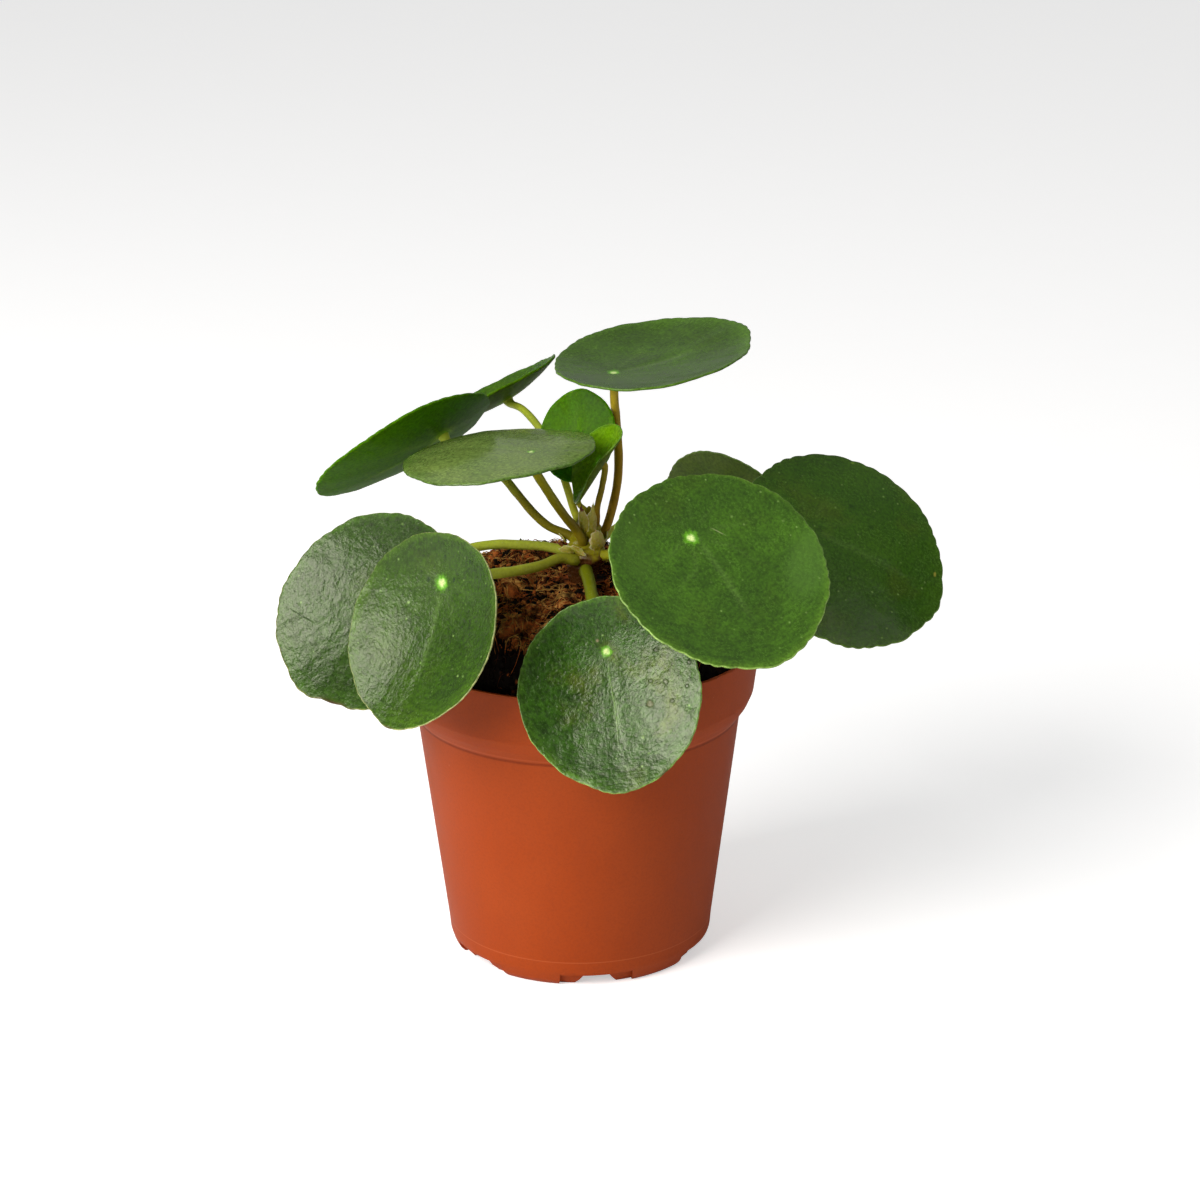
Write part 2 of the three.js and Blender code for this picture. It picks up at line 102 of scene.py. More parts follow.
# Stem, as radius and height on its own leaning axis
STEM_X = 0.0015
STEM_LEAN_FROM = 0.112
STEM_LEAN = 0.1
STEM_PROFILE = (
    (0.0039, 0.092), (0.0041, 0.112), (0.0048, 0.1144), (0.0047, 0.116), (0.0055, 0.118), (0.0048, 0.12),
    (0.0049, 0.122), (0.004, 0.1242), (0.0039, 0.1262), (0.0026, 0.1286), (0.0012, 0.1314),
)
STEM_TIP = 0.1324
STEM_SIDES = 96
POCKET_DEPTH = 0.0017
ROOT_STRAIGHT = 0.003
ROOT_FLARE = 0.2
ROOT_FLARE_SHARE = 0.15
STALK_STEPS = 72

# Swellings on the stem where stalks leave it: angle, height, how far they stand out and how far they spread
SWELLINGS = (
    (-48, 0.1194, 0.0020, 0.0026), (-75, 0.1172, 0.0008, 0.0014), (-30, 0.1168, 0.0009, 0.0015),
    (-115, 0.1168, 0.0008, 0.0014), (-100, 0.1206, 0.0006, 0.0018), (-150, 0.1210, 0.0007, 0.0018),
    (10, 0.1180, 0.0008, 0.0018), (60, 0.1190, 0.0008, 0.0020), (120, 0.1210, 0.0008, 0.0020),
    (170, 0.1170, 0.0007, 0.0016),
)

# Leaf outline
APEX_POINT = 0.04
APEX_SPREAD = 0.3
LOBES = 12
LOBE_DEPTH = 0.005
SWELL_DEPTH = 0.009
SCALLOP_COUNT = 38
RIPPLE = 0.00008
BUCKLE = 0.0003
YOUNG_WAVE = 0.5
YOUNG_PUCKER = 0.6
LONG_WAVE = 0.0085
SHORT_WAVE = 0.0045
DIMPLE_DEPTH = 0.00035
DIMPLE_REACH = 0.0017
RIB_REACH = 0.0016
USUAL_SCALLOP = 0.0045

# Rings of a blade, from its margin to its middle
LEAF_RINGS = (
    1, 0.9985, 0.995, 0.988, 0.976, 0.955, 0.925, 0.885, 0.84, 0.79, 0.735, 0.68, 0.62, 0.56, 0.5, 0.44, 0.38,
    0.32, 0.26, 0.2, 0.145, 0.095, 0.05,
)

# How deeply the margin is scalloped, as a share of the blade's half length
SCALLOPS = {
    "far_right": 0.0065, "front_right": 0.006, "front": 0.003, "front_left": 0.0025, "centre": 0.0032,
    "young_upright": 0.001, "young_folded": 0.001,
}

# Brown patches on a margin: angle round the hub, spread in degrees and depth as a share of the blade
SCORCHED = {
    "far_left": ((12, 7, 0.035),),
    "front": ((19, 2.5, 0.03),),
    "front_left": ((-4, 2, 0.025),),
}

# Where a margin is bitten back: angle round the disc's middle, spread in degrees and depth as a share
BITES = {
    "far_left": ((17, 11, 0.035),),
}


@dataclass
class Stalk:
    """Side and height at which a stalk leaves the stem, its climb, radius, last straight and way points."""

    side: float
    root: float
    climb: float
    radius: float
    meet: float
    via: tuple


@dataclass
class Leaf:
    """A leaf's hub, the way and lean of its face, its apex's turn, and the blade's size and bowing."""

    place: str
    hub: tuple
    way: float
    lean: float
    turn: float
    size: tuple
    off: float
    drop: float
    stalk: Stalk
    young: bool = False
    roll: float = 0.0


LEAVES = (
    Leaf("top", hub=(0.0107, 0.005, 0.17), way=-110, lean=3, turn=133, size=(0.0557, 0.054),
         off=0.22, drop=-0.0035,
         stalk=Stalk(side=38, root=0.1205, climb=40, radius=0.00125, meet=0.008,
                     via=((0.0082, 0.0036, 0.1246), (0.0114, 0.0064, 0.136), (0.012, 0.0084, 0.1445),
                          (0.0113, 0.0088, 0.156)))),
    Leaf("upper_left", hub=(-0.0382, 0.012, 0.1504), way=140, lean=46, turn=35, size=(0.055, 0.0525),
         off=0.19, drop=-0.0039,
         stalk=Stalk(side=166, root=0.1223, climb=28, radius=0.00125, meet=0.004,
                     via=((-0.008, 0.002, 0.1258), (-0.0122, 0.003, 0.1293), (-0.0172, 0.004, 0.1353),
                          (-0.0216, 0.0054, 0.1402)))),
    Leaf("centre", hub=(-0.0125, -0.024, 0.1557), way=-173, lean=4, turn=-42, size=(0.0544, 0.0528),
         off=0.21, drop=0.002,
         stalk=Stalk(side=-103, root=0.1218, climb=50, radius=0.0013, meet=0.003,
                     via=((-0.0004, -0.0054, 0.1272), (-0.0036, -0.009, 0.1326), (-0.0082, -0.015, 0.1418)))),
    Leaf("back_left", hub=(-0.0202, 0.04, 0.153), way=148, lean=37, turn=-36, size=(0.0446, 0.0434),
         off=0.2, drop=-0.0046,
         stalk=Stalk(side=138, root=0.1252, climb=62, radius=0.0011, meet=0.0012,
                     via=((-0.0009, 0.0045, 0.13), (-0.0035, 0.009, 0.1374), (-0.007, 0.016, 0.1438),
                          (-0.0108, 0.0242, 0.1487), (-0.0155, 0.032, 0.1519)))),
    Leaf("young_upright", hub=(-0.0001, 0.005, 0.1478), way=-122, lean=67, turn=188, size=(0.0265, 0.0246),
         off=0.14, drop=0.0002, young=True,
         stalk=Stalk(side=95, root=0.127, climb=72, radius=0.0008, meet=0.003,
                     via=((0.0006, 0.0034, 0.132), (0, 0.0048, 0.1375)))),
    Leaf("young_folded", hub=(0.0064, -0.0046, 0.1464), way=-161, lean=63, turn=-17, size=(0.026, 0.0186),
         off=0.017, drop=0, young=True, roll=0.009,
         stalk=Stalk(side=-20, root=0.1245, climb=76, radius=0.0009, meet=0.0015,
                     via=((0.0058, -0.0026, 0.133), (0.0072, -0.0036, 0.1395)))),
    Leaf("front_right", hub=(0.0324, -0.034, 0.1344), way=-73, lean=42, turn=18, size=(0.0626, 0.0607),
         off=0.2, drop=-0.0014,
         stalk=Stalk(side=-38, root=0.118, climb=20, radius=0.0015, meet=0.008,
                     via=((0.014, -0.01, 0.121),))),
    Leaf("far_right", hub=(0.0673, 0.02, 0.1187), way=-65, lean=44, turn=52, size=(0.0645, 0.0635),
         off=0.18, drop=0.0023,
         stalk=Stalk(side=12, root=0.1155, climb=24, radius=0.0015, meet=0.008,
                     via=((0.022, 0.009, 0.121), (0.042, 0.02, 0.1174), (0.055, 0.0255, 0.113)))),
    Leaf("back_right", hub=(0.0429, 0.052, 0.1221), way=61, lean=67, turn=-7, size=(0.043, 0.0412),
         off=0.21, drop=-0.0003,
         stalk=Stalk(side=64, root=0.117, climb=24, radius=0.0012, meet=0.006,
                     via=((0.015, 0.019, 0.122),))),
    Leaf("front", hub=(0.0077, -0.0516, 0.1073), way=-103.5, lean=76.5, turn=12.5, size=(0.0522, 0.0512),
         off=0.21, drop=-0.0032,
         stalk=Stalk(side=-82, root=0.114, climb=20, radius=0.0018, meet=0.006,
                     via=((0.0024, -0.0074, 0.1156), (0.0032, -0.014, 0.1148), (0.0046, -0.028, 0.1126)))),
    Leaf("front_left", hub=(-0.037, -0.04, 0.1234), way=-132, lean=72, turn=5, size=(0.0536, 0.0522),
         off=0.24, drop=-0.0048,
         stalk=Stalk(side=-122, root=0.1174, climb=15, radius=0.0015, meet=0.005,
                     via=((-0.0043, -0.007, 0.1193), (-0.0105, -0.013, 0.119), (-0.0174, -0.02, 0.1199),
                          (-0.0243, -0.026, 0.121)))),
    Leaf("far_left", hub=(-0.0485, -0.02, 0.1181), way=-112, lean=62, turn=-30, size=(0.0572, 0.0555),
         off=0.22, drop=-0.0028,
         stalk=Stalk(side=178, root=0.1186, climb=14, radius=0.0014, meet=0.004,
                     via=((-0.0092, 0.0005, 0.1203), (-0.0163, 0, 0.121), (-0.0234, -0.001, 0.1215),
                          (-0.031, -0.003, 0.1208), (-0.04, -0.0086, 0.118)))),
)

# What sets one leaf apart from the others: colours, creases, wrinkles and which way its face slopes
LEAF_LOOKS = {
    "top": {
        "Upper colour": (0.034, 0.083, 0.004), "Patch colour": (0.053, 0.13, 0.005),
        "Rim line and highlight colour": (0.08, 0.17, 0.01), "Wrinkle height": 0.00005, "Veins": 0.12, "Speckles": 0.2,
        "Hub size": 0.8,
    },
    "upper_left": {
        "Patch colour": (0.045, 0.14, 0.001), "Margin colour": (0.06, 0.16, 0.001),
        "Under colour": (0.05, 0.15, 0.001), "Vein colour": (0.2, 0.36, 0.03),
        "Rim line and highlight colour": (0.07, 0.18, 0.002),
    },
    # The centre leaf's pale grey-green colours are partly its waxy bloom and partly a painted reflection of the
    # bright backdrop seen at a grazing view
    "centre": {
        "Upper colour": (0.125, 0.2, 0.042), "Patch colour": (0.17, 0.25, 0.055),
        "Rim line and highlight colour": (0.04, 0.09, 0.006), "Wrinkle height": 0.00005, "Painted wrinkle shade": 0.16, "Crease": 0.3,
        "Speckles": 0.3, "Hub size": 0.55,
    },
    "back_left": {
        "Patch colour": (0.045, 0.115, 0.001), "Under colour": (0.055, 0.11, 0.001),
        "Vein colour": (0.16, 0.3, 0.01), "Rim line and highlight colour": (0.07, 0.15, 0.002),
    },
    "young_upright": {
        "Upper colour": (0.042, 0.115, 0.001), "Patch colour": (0.055, 0.14, 0.001),
        "Margin colour": (0.06, 0.16, 0.001), "Under colour": (0.05, 0.13, 0.0005),
        "Vein colour": (0.16, 0.34, 0.005), "Rim line and highlight colour": (0.1, 0.24, 0.005), "Speckles": 0.1,
    },
    "young_folded": {
        "Upper colour": (0.1, 0.215, 0.003), "Patch colour": (0.11, 0.24, 0.003),
        "Under colour": (0.09, 0.13, 0.012), "Speckles": 0.05,
    },
    "front_right": {
        "Upper colour": (0.031, 0.085, 0.005), "Patch colour": (0.05, 0.132, 0.007),
        "Margin colour": (0.1, 0.22, 0.015), "Rim line and highlight colour": (0.34, 0.52, 0.12), "Margin width": 0.07,
        "Wrinkle height": 0.00015, "Veins": 0.1, "Speckles": 0.9, "Hub shift": (0.0002, -0.0016, 0),
        "Slopes": (0.08, 0.08, 0.001), "Painted wrinkle shade": 0.15,
    },
    "far_right": {
        "Upper colour": (0.032, 0.096, 0.004), "Patch colour": (0.046, 0.125, 0.005),
        "Margin colour": (0.06, 0.14, 0.008), "Speckles": 0.9, "Yellowing": 0.25, "Hub size": 0.8,
        "Hub shift": (-0.0014, -0.0012, 0),
    },
    "back_right": {"Under colour": (0.13, 0.205, 0.028)},
    "front": {
        "Upper colour": (0.02, 0.06, 0.004), "Patch colour": (0.03, 0.09, 0.005),
        "Rim line and highlight colour": (0.3, 0.5, 0.1), "Hub size": 0.75, "Crease": 0.75, "Wrinkle height": 0.00024,
        "Painted wrinkle shade": 0.3, "Yellowing": 0.6, "Slopes": (0.1, -0.1, 0.0012), "Speckles": 0.8,
    },
    # The front left leaf's wide yellow-green margin is partly its own colour and partly painted light shining
    # through the blade
    "front_left": {
        "Upper colour": (0.018, 0.052, 0.001), "Patch colour": (0.03, 0.08, 0.001),
        "Margin colour": (0.075, 0.17, 0.005), "Rim line and highlight colour": (0.5, 0.5, 0.2), "Margin width": 0.16,
        "Crease": 0.15, "Wrinkle height": 0.00028, "Painted wrinkle shade": 0.2, "Speckles": 0.9, "Veins": 0.12,
        "Slopes": (-0.15, 0, 0.0015),
    },
    "far_left": {
        "Upper colour": (0.015, 0.043, 0.001), "Patch colour": (0.023, 0.064, 0.002),
        "Margin colour": (0.05, 0.13, 0.006), "Rim line and highlight colour": (0.3, 0.27, 0.07), "Wrinkle height": 0.00028,
        "Painted wrinkle shade": 0.22, "Slopes": (-0.2, 0.25, 0.002),
    },
}

USUAL_SHINE = 0.5

# How strongly a leaf mirrors its surroundings, where this isn't as usual
LEAF_SHINE = {
    "upper_left": 0.04, "back_left": 0.03, "young_upright": 0.04, "young_folded": 0.08, "front_left": 0.5,
    "far_left": 0.56, "far_right": 0.4, "front": 0.6, "top": 0.42,
}

# Thin leaves let light through: how much of it spreads below the surface, and how far
LEAF_GLOW = {
    "upper_left": (0.5, 0.0016), "back_left": (0.5, 0.0016), "young_upright": (0.9, 0.003),
    "young_folded": (0.5, 0.0018), "back_right": (0.2, 0.0012),
}

# Root colour, tip colour, where along the stalk they change and how flecked it is
STALK_LOOKS = {
    "top": ((0.44, 0.25, 0.01), (0.52, 0.38, 0.02), 0.6, 0.1),
    "upper_left": ((0.27, 0.22, 0.008), (0.42, 0.52, 0.03), 0.6, 0.2),
    "centre": ((0.26, 0.19, 0.005), (0.36, 0.33, 0.01), 0.5, 0.2),
    "back_left": ((0.72, 0.72, 0.05), (0.36, 0.43, 0.03), 0.45, 0.3),
    "young_upright": ((0.5, 0.45, 0.02), (0.5, 0.5, 0.02), 0.5, 0.1),
    "young_folded": ((0.32, 0.18, 0.008), (0.38, 0.3, 0.01), 0.5, 0.1),
    "front": ((0.2, 0.23, 0.003), (0.19, 0.235, 0.004), 0.4, 0.5),
    "front_left": ((0.46, 0.46, 0.03), (0.62, 0.68, 0.06), 0.4, 0.5),
    "front_right": ((0.34, 0.32, 0.01), (0.5, 0.64, 0.02), 0.4, 0.5),
}
GREEN_STALK = ((0.6, 0.66, 0.07), (0.6, 0.7, 0.06), 0.4, 0.6)


@dataclass
class Mark:
    """A mark on a blade: its middle, half length, half width and turn, its colour and how far it stands out."""

    middle: tuple
    size: tuple
    turn: float
    colour: tuple
    strength: float = 0.8
    rise: float = 0.0


# Scars and spots: the healed pits of the front leaf, dark dots round a hub, yellow spots and pale lines, and broad
# patches of painted light on the front right leaf
LEAF_MARKS = {
    "front": (
        Mark((-0.0033, -0.0019), (0.0005, 0.0005), 0, (0.2, 0.17, 0.08), 1.0, 0.00004),
        Mark((-0.0078, -0.0062), (0.0010, 0.0013), 0, (0.012, 0.05, 0.003)),
        Mark((0.0157, 0.0100), (0.0011, 0.0011), 0, (0.13, 0.12, 0.05), 0.75, -0.00005),
        Mark((0.0104, 0.0154), (0.0008, 0.0008), 0, (0.06, 0.07, 0.03), 0.75, -0.00006),
        Mark((0.0096, 0.0112), (0.0006, 0.0007), 0, (0.02, 0.03, 0.008), 0.75, -0.00005),
        Mark((0.0157, 0.0164), (0.0006, 0.0008), 0, (0.02, 0.03, 0.008), 0.75, -0.00005),
        Mark((0.0122, 0.0213), (0.0006, 0.0006), 0, (0.02, 0.03, 0.008), 0.75, -0.00005),
        Mark((0.0059, 0.0229), (0.0007, 0.0007), 0, (0.02, 0.03, 0.008), 0.75, -0.00005),
        Mark((0.0015, 0.0140), (0.0007, 0.0009), 0, (0.02, 0.03, 0.008), 0.75, -0.00006),
    ),
    "front_left": (
        Mark((-0.0074, 0.0004), (0.0006, 0.0005), 0, (0.004, 0.026, 0.001)),
        Mark((-0.0005, -0.0046), (0.0010, 0.0008), 0, (0.004, 0.026, 0.001)),
        Mark((-0.0014, 0.0046), (0.0008, 0.0006), 0, (0.004, 0.026, 0.001)),
        Mark((-0.0070, 0.0102), (0.0006, 0.0005), 0, (0.004, 0.026, 0.001)),
    ),
    "far_left": (
        Mark((0.0262, -0.0163), (0.0034, 0.00018), 99, (0.012, 0.035, 0.004), 0.7, -0.00008),
    ),
    "front_right": (
        Mark((0.0017, 0.0064), (0.0024, 0.00016), 34, (0.3, 0.36, 0.14), 0.8, 0.00004),
        # Painted light: two broad lighter patches where the blade catches the light, one of them a painted sheen
        Mark((-0.0060, -0.0185), (0.0160, 0.0060), -10, (0.06, 0.13, 0.012), 0.35),
        Mark((0.0215, 0.0235), (0.0140, 0.0070), -45, (0.095, 0.21, 0.03), 0.4),
    ),
    "far_right": (
        Mark((0.0061, 0.0300), (0.0006, 0.0005), 20, (0.16, 0.3, 0.02)),
        Mark((0.0405, 0.0070), (0.0005, 0.0009), 10, (0.4, 0.34, 0.05)),
    ),
}


@dataclass
class Scale:
    """A papery scale from its base to its tip, its width, bulge, cupping, how pointed it is and its tone."""

    base: tuple
    tip: tuple
    width: float
    bulge: float
    cup: float
    point: float
    tone: float


SCALES = (
    Scale((0.0022, -0.0034, 0.1246), (0.0013, -0.0027, 0.1337), 0.0040, 0.0006, 0.0022, 0.75, 1.0),
    Scale((0.0040, -0.0032, 0.1246), (0.0046, -0.0024, 0.1343), 0.0038, 0.0006, 0.0022, 0.85, 0.25),
    Scale((0.0032, -0.0010, 0.1246), (0.0033, 0.0002, 0.1322), 0.0045, 0.0005, 0.0026, 0.6, 0.6),
    Scale((-0.0002, -0.0020, 0.1252), (-0.0027, -0.0012, 0.1298), 0.0042, 0.0007, 0.0026, 0.1, 0.15),
    Scale((0.0053, -0.0049, 0.1203), (0.0060, -0.0026, 0.1260), 0.0066, 0.0012, 0.0038, 0.15, 0.35),
    Scale((-0.0006, -0.0049, 0.1206), (-0.0053, -0.0047, 0.1213), 0.0030, 0.0004, 0.0020, 0.6, 0.2),
    Scale((-0.0018, -0.0051, 0.1222), (0.0026, -0.0060, 0.1196), 0.0022, 0.0004, 0.0016, 0.5, 0.3),
    Scale((-0.0036, -0.0034, 0.1210), (-0.0059, -0.0032, 0.1233), 0.0014, 0.0002, 0.0012, 0.8, 1.3),
    Scale((-0.0030, 0.0010, 0.1215), (-0.0052, 0.0018, 0.1252), 0.0038, 0.0006, 0.0024, 0.3, 0.3),
    Scale((0.0030, 0.0040, 0.1215), (0.0032, 0.0058, 0.1260), 0.0046, 0.0006, 0.0026, 0.4, 0.4),
    Scale((0.0066, 0.0012, 0.1200), (0.0086, 0.0022, 0.1242), 0.0042, 0.0006, 0.0026, 0.3, 0.2),
)


@dataclass
class Fibre:
    """Ranges of a fibre's length, half thickness, arch and shade, how much it bends and its own seed."""

    length: tuple
    thickness: tuple
    arch: tuple
    shade: tuple
    bend: float
    seed: int


SHORT_FIBRE = Fibre((0.0015, 0.006), (0.00007, 0.00016), (0.0, 0.0008), (0.0, 0.95), bend=1.1, seed=11)
THREAD = Fibre((0.006, 0.013), (0.00008, 0.00018), (0.0001, 0.0012), (0.5, 1.5), bend=0.8, seed=12)
STRAW = Fibre((0.014, 0.026), (0.00012, 0.0002), (0.0002, 0.0014), (0.9, 1.5), bend=0.35, seed=13)


def random_from(seed):
    """The same repeatable draws between -1 and 1 that shape the leaves in CAD."""
    state = seed
    while True:
        state = (state * 16807) % 2147483647
        yield state / 2147483647 * 2 - 1


def pot_axis():
    low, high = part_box("pot")
    return Vector(((low.x + high.x) / 2, (low.y + high.y) / 2, 0.0))


def deselect():
    for thing in bpy.context.selected_objects:
        thing.select_set(False)


def select_only(thing):
    deselect()
    thing.select_set(True)
    bpy.context.view_layer.objects.active = thing


def edit(thing):
    select_only(thing)
    bpy.ops.object.mode_set(mode="EDIT")
    bpy.ops.mesh.select_all(action="SELECT")


def leave_edit():
    bpy.ops.object.mode_set(mode="OBJECT")


def merge_points(thing, closer_than, outward=False):
    """Joins points that nearly meet and, if asked to, turns the faces outward."""
    edit(thing)
    bpy.ops.mesh.remove_doubles(threshold=closer_than)
    if outward:
        bpy.ops.mesh.normals_make_consistent(inside=False)
    leave_edit()


def face_outward(thing):
    edit(thing)
    bpy.ops.mesh.normals_make_consistent(inside=False)
    leave_edit()


def points_of(thing):
    places = np.empty(len(thing.data.vertices) * 3)
    thing.data.vertices.foreach_get("co", places)
    return places.reshape(-1, 3)


def place_points(thing, places):
    thing.data.vertices.foreach_set("co", np.asarray(places, dtype=np.float32).ravel())
    thing.data.update()


def keep_values(thing, name, values):
    """Stores one number, or three, for each point of a mesh."""
    values = np.asarray(values, dtype=np.float32)
    kind, field = ("FLOAT", "value") if values.ndim == 1 else ("FLOAT_VECTOR", "vector")
    attribute = thing.data.attributes.new(name, kind, "POINT")
    attribute.data.foreach_set(field, values.ravel())


def mesh_object(name, points, faces):
    mesh = bpy.data.meshes.new(name)
    mesh.from_pydata([tuple(p) for p in points], [], [tuple(f) for f in faces])
    mesh.update()
    thing = bpy.data.objects.new(name, mesh)
    bpy.context.collection.objects.link(thing)
    return thing


def finish_piece(thing, material, slot, *nodes):
    """Joins doubled points, turns the faces outward and hands the piece to the frame."""
    merge_points(thing, 1e-6, outward=True)
    bpy.ops.object.shade_smooth()
    thing.data.materials.clear()
    thing.data.materials.append(material)
    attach(thing, "root")
    if nodes:
        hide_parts(*nodes)
    return thing


def turned(name, profile, sides):
    """A profile of radius and height turned about the upright axis, as one circle extruded and resized."""
    (radius, height), *rest = profile
    deselect()
    bpy.ops.mesh.primitive_circle_add(vertices=sides, radius=radius, location=(0, 0, 0))
    thing = bpy.context.active_object
    thing.name = name
    edit(thing)
    bpy.ops.transform.translate(value=(0, 0, height))
    for next_radius, next_height in rest:
        bpy.ops.mesh.extrude_region_move(TRANSFORM_OT_translate={"value": (0, 0, next_height - height)})
        scale = next_radius / radius
        bpy.ops.transform.resize(value=(scale, scale, 1), center_override=(0, 0, 0))
        radius, height = next_radius, next_height
    leave_edit()
    return thing


def rounded(profile, reach, steps=3):
    """The same profile with each corner replaced by a short curve that starts this far from it."""
    made = [profile[0]]
    for before, here, after in zip(profile, profile[1:], profile[2:]):
        before, here, after = (np.array(p) for p in (before, here, after))
        back, on = before - here, after - here
        cut = min(reach, 0.45 * np.linalg.norm(back), 0.45 * np.linalg.norm(on))
        start = here + back / np.linalg.norm(back) * cut
        end = here + on / np.linalg.norm(on) * cut
        for i in range(steps + 1):
            t = i / steps
            made.append(tuple((1 - t) ** 2 * start + 2 * t * (1 - t) * here + t * t * end))
    return made + [profile[-1]]


def from_axis(places):
    """Places measured from the pot's axis, as places in the frame."""
    return places + np.array(pot_axis())


def degrees_from(angle, at):
    """How far each angle, in radians, lies from the one in degrees, from -180 to 180."""
    return (np.degrees(angle) - at + 180) % 360 - 180


def smooth(values, start, end):
    t = np.clip((values - start) / (end - start), 0, 1)
    return t * t * (3 - 2 * t)


def unit(values):
    values = np.asarray(values, dtype=float)
    return values / np.linalg.norm(values)


# Materials

class Value:
    """A node's output. Sums, differences, products and quotients of it become Math nodes of its own tree."""

    def __init__(self, socket):
        self.socket = socket

    def __add__(self, other):
        return maths("ADD", self, other)

    def __sub__(self, other):
        return maths("SUBTRACT", self, other)

    def __rsub__(self, other):
        return maths("SUBTRACT", other, self)

    def __mul__(self, other):
        return maths("MULTIPLY", self, other)

    def __truediv__(self, other):
        return maths("DIVIDE", self, other)

    def __abs__(self):
        return maths("ABSOLUTE", self)


def link(value, socket):
    """Joins a value to an input, or sets the input to a plain number, place or colour."""
    if isinstance(value, Value):
        socket.id_data.links.new(value.socket, socket)
    elif value is not None:
        opaque = socket.type == "RGBA" and len(value) == 3
        socket.default_value = (*value, 1) if opaque else value


def add(kind, inputs=None, tree=None, **settings):
    """A shader node in the given tree, or else in the tree of the first value that feeds it."""
    inputs = inputs or {}
    tree = tree or next(value.socket.id_data for value in inputs.values() if isinstance(value, Value))
    node = tree.nodes.new("ShaderNode" + kind)
    for name, value in settings.items():
        setattr(node, name, value)
    for name, value in inputs.items():
        link(value, node.inputs[name])
    return node


def maths(operation, *values):
    return Value(add("Math", dict(enumerate(values)), operation=operation).outputs[0])


def mixed(share, a, b, blend="MIX"):
    return Value(add("Mix", {0: share, 6: a, 7: b}, data_type="RGBA", blend_type=blend).outputs[2])


def between(share, a, b):
    """A number that goes from a to b while the share goes from 0 to 1."""
    return Value(add("Mix", {0: share, 2: a, 3: b}, data_type="FLOAT").outputs[0])


def layered(colour, *layers):
    """Lays each colour of the layers over what lies below it, by its share."""
    for share, tint in layers:
        colour = mixed(share, colour, tint)
    return colour


def band(value, start, end, low=0.0, high=1.0):
    """Goes smoothly from low to high while the value goes from start to end."""
    given = dict(enumerate((value, start, end, low, high)))
    return Value(add("MapRange", given, interpolation_type="SMOOTHSTEP").outputs[0])


def noise(place, scale, detail=2.0, roughness=0.5, distortion=0.0):
    given = {"Vector": place, "Scale": scale, "Detail": detail, "Roughness": roughness, "Distortion": distortion}
    return Value(add("TexNoise", given).outputs["Fac"])


def cells(place, scale):
    """How far off the nearest point of a scattered pattern is, and three random numbers of its own."""
    node = add("TexVoronoi", {"Vector": place, "Scale": scale, "Randomness": 1.0})
    picks = add("SeparateColor", {0: Value(node.outputs["Color"])}).outputs
    return Value(node.outputs["Distance"]), [Value(pick) for pick in picks]


def vector(operation, a, b=None, scale=None):
    node = add("VectorMath", {0: a, 1: b, 3: scale}, operation=operation)
    return Value(node.outputs["Value" if operation in ("LENGTH", "DOT_PRODUCT") else "Vector"])


def parted(place):
    """The three coordinates of a place."""
    return [Value(socket) for socket in add("SeparateXYZ", {0: place}).outputs]


def placed(x, y, z):
    return Value(add("CombineXYZ", {0: x, 1: y, 2: z}).outputs[0])


def object_place(tree):
    return Value(add("TexCoord", tree=tree).outputs["Object"])


def seen_by_camera(tree):
    return Value(add("LightPath", tree=tree).outputs["Is Camera Ray"])


def tidy_nodes(tree):
    """Sets the nodes out in columns, each to the right of what feeds it."""
    column = {node.name: 0 for node in tree.nodes}
    for _ in tree.nodes:
        for joined in tree.links:
            column[joined.to_node.name] = max(column[joined.to_node.name], column[joined.from_node.name] + 1)
    rows = {}
    for node in tree.nodes:
        place = column[node.name]
        rows[place] = rows.get(place, 0) + 1
        node.location = (place * 220, -rows[place] * 240)


def new_group(name, inputs):
    """A node group with the given inputs, each with its starting value, for a colour, a roughness and a height."""
    group = bpy.data.node_groups.new(name, "ShaderNodeTree")
    for label, value in inputs.items():
        colour = label.endswith("olour")
        kind = "Color" if colour else "Vector" if isinstance(value, tuple) else "Float"
        socket = group.interface.new_socket(label, in_out="INPUT", socket_type="NodeSocket" + kind)
        socket.default_value = (*value, 1) if colour else value
    for label, kind in (("Colour", "Color"), ("Roughness", "Float"), ("Height", "Float")):
        group.interface.new_socket(label, in_out="OUTPUT", socket_type="NodeSocket" + kind)
    given = group.nodes.new("NodeGroupInput").outputs
    return group, {label: Value(given[label]) for label in inputs}


def close_group(group, colour, roughness, height):
    """Joins a group's results to what it puts out."""
    results = group.nodes.new("NodeGroupOutput").inputs
    for label, value in (("Colour", colour), ("Roughness", roughness), ("Height", height)):
        link(value, results[label])
    tidy_nodes(group)
    return group


def new_material(name):
    material = bpy.data.materials.new(name)
    material.use_nodes = True
    return material, material.node_tree, material.node_tree.nodes["Principled BSDF"].inputs


def glow(weight, reach):
    """Spreads some of the light below the surface of something thin, yellow-green most of all."""
    return {"Subsurface Weight": weight, "Subsurface Radius": (0.5, 1.0, 0.06), "Subsurface Scale": reach}


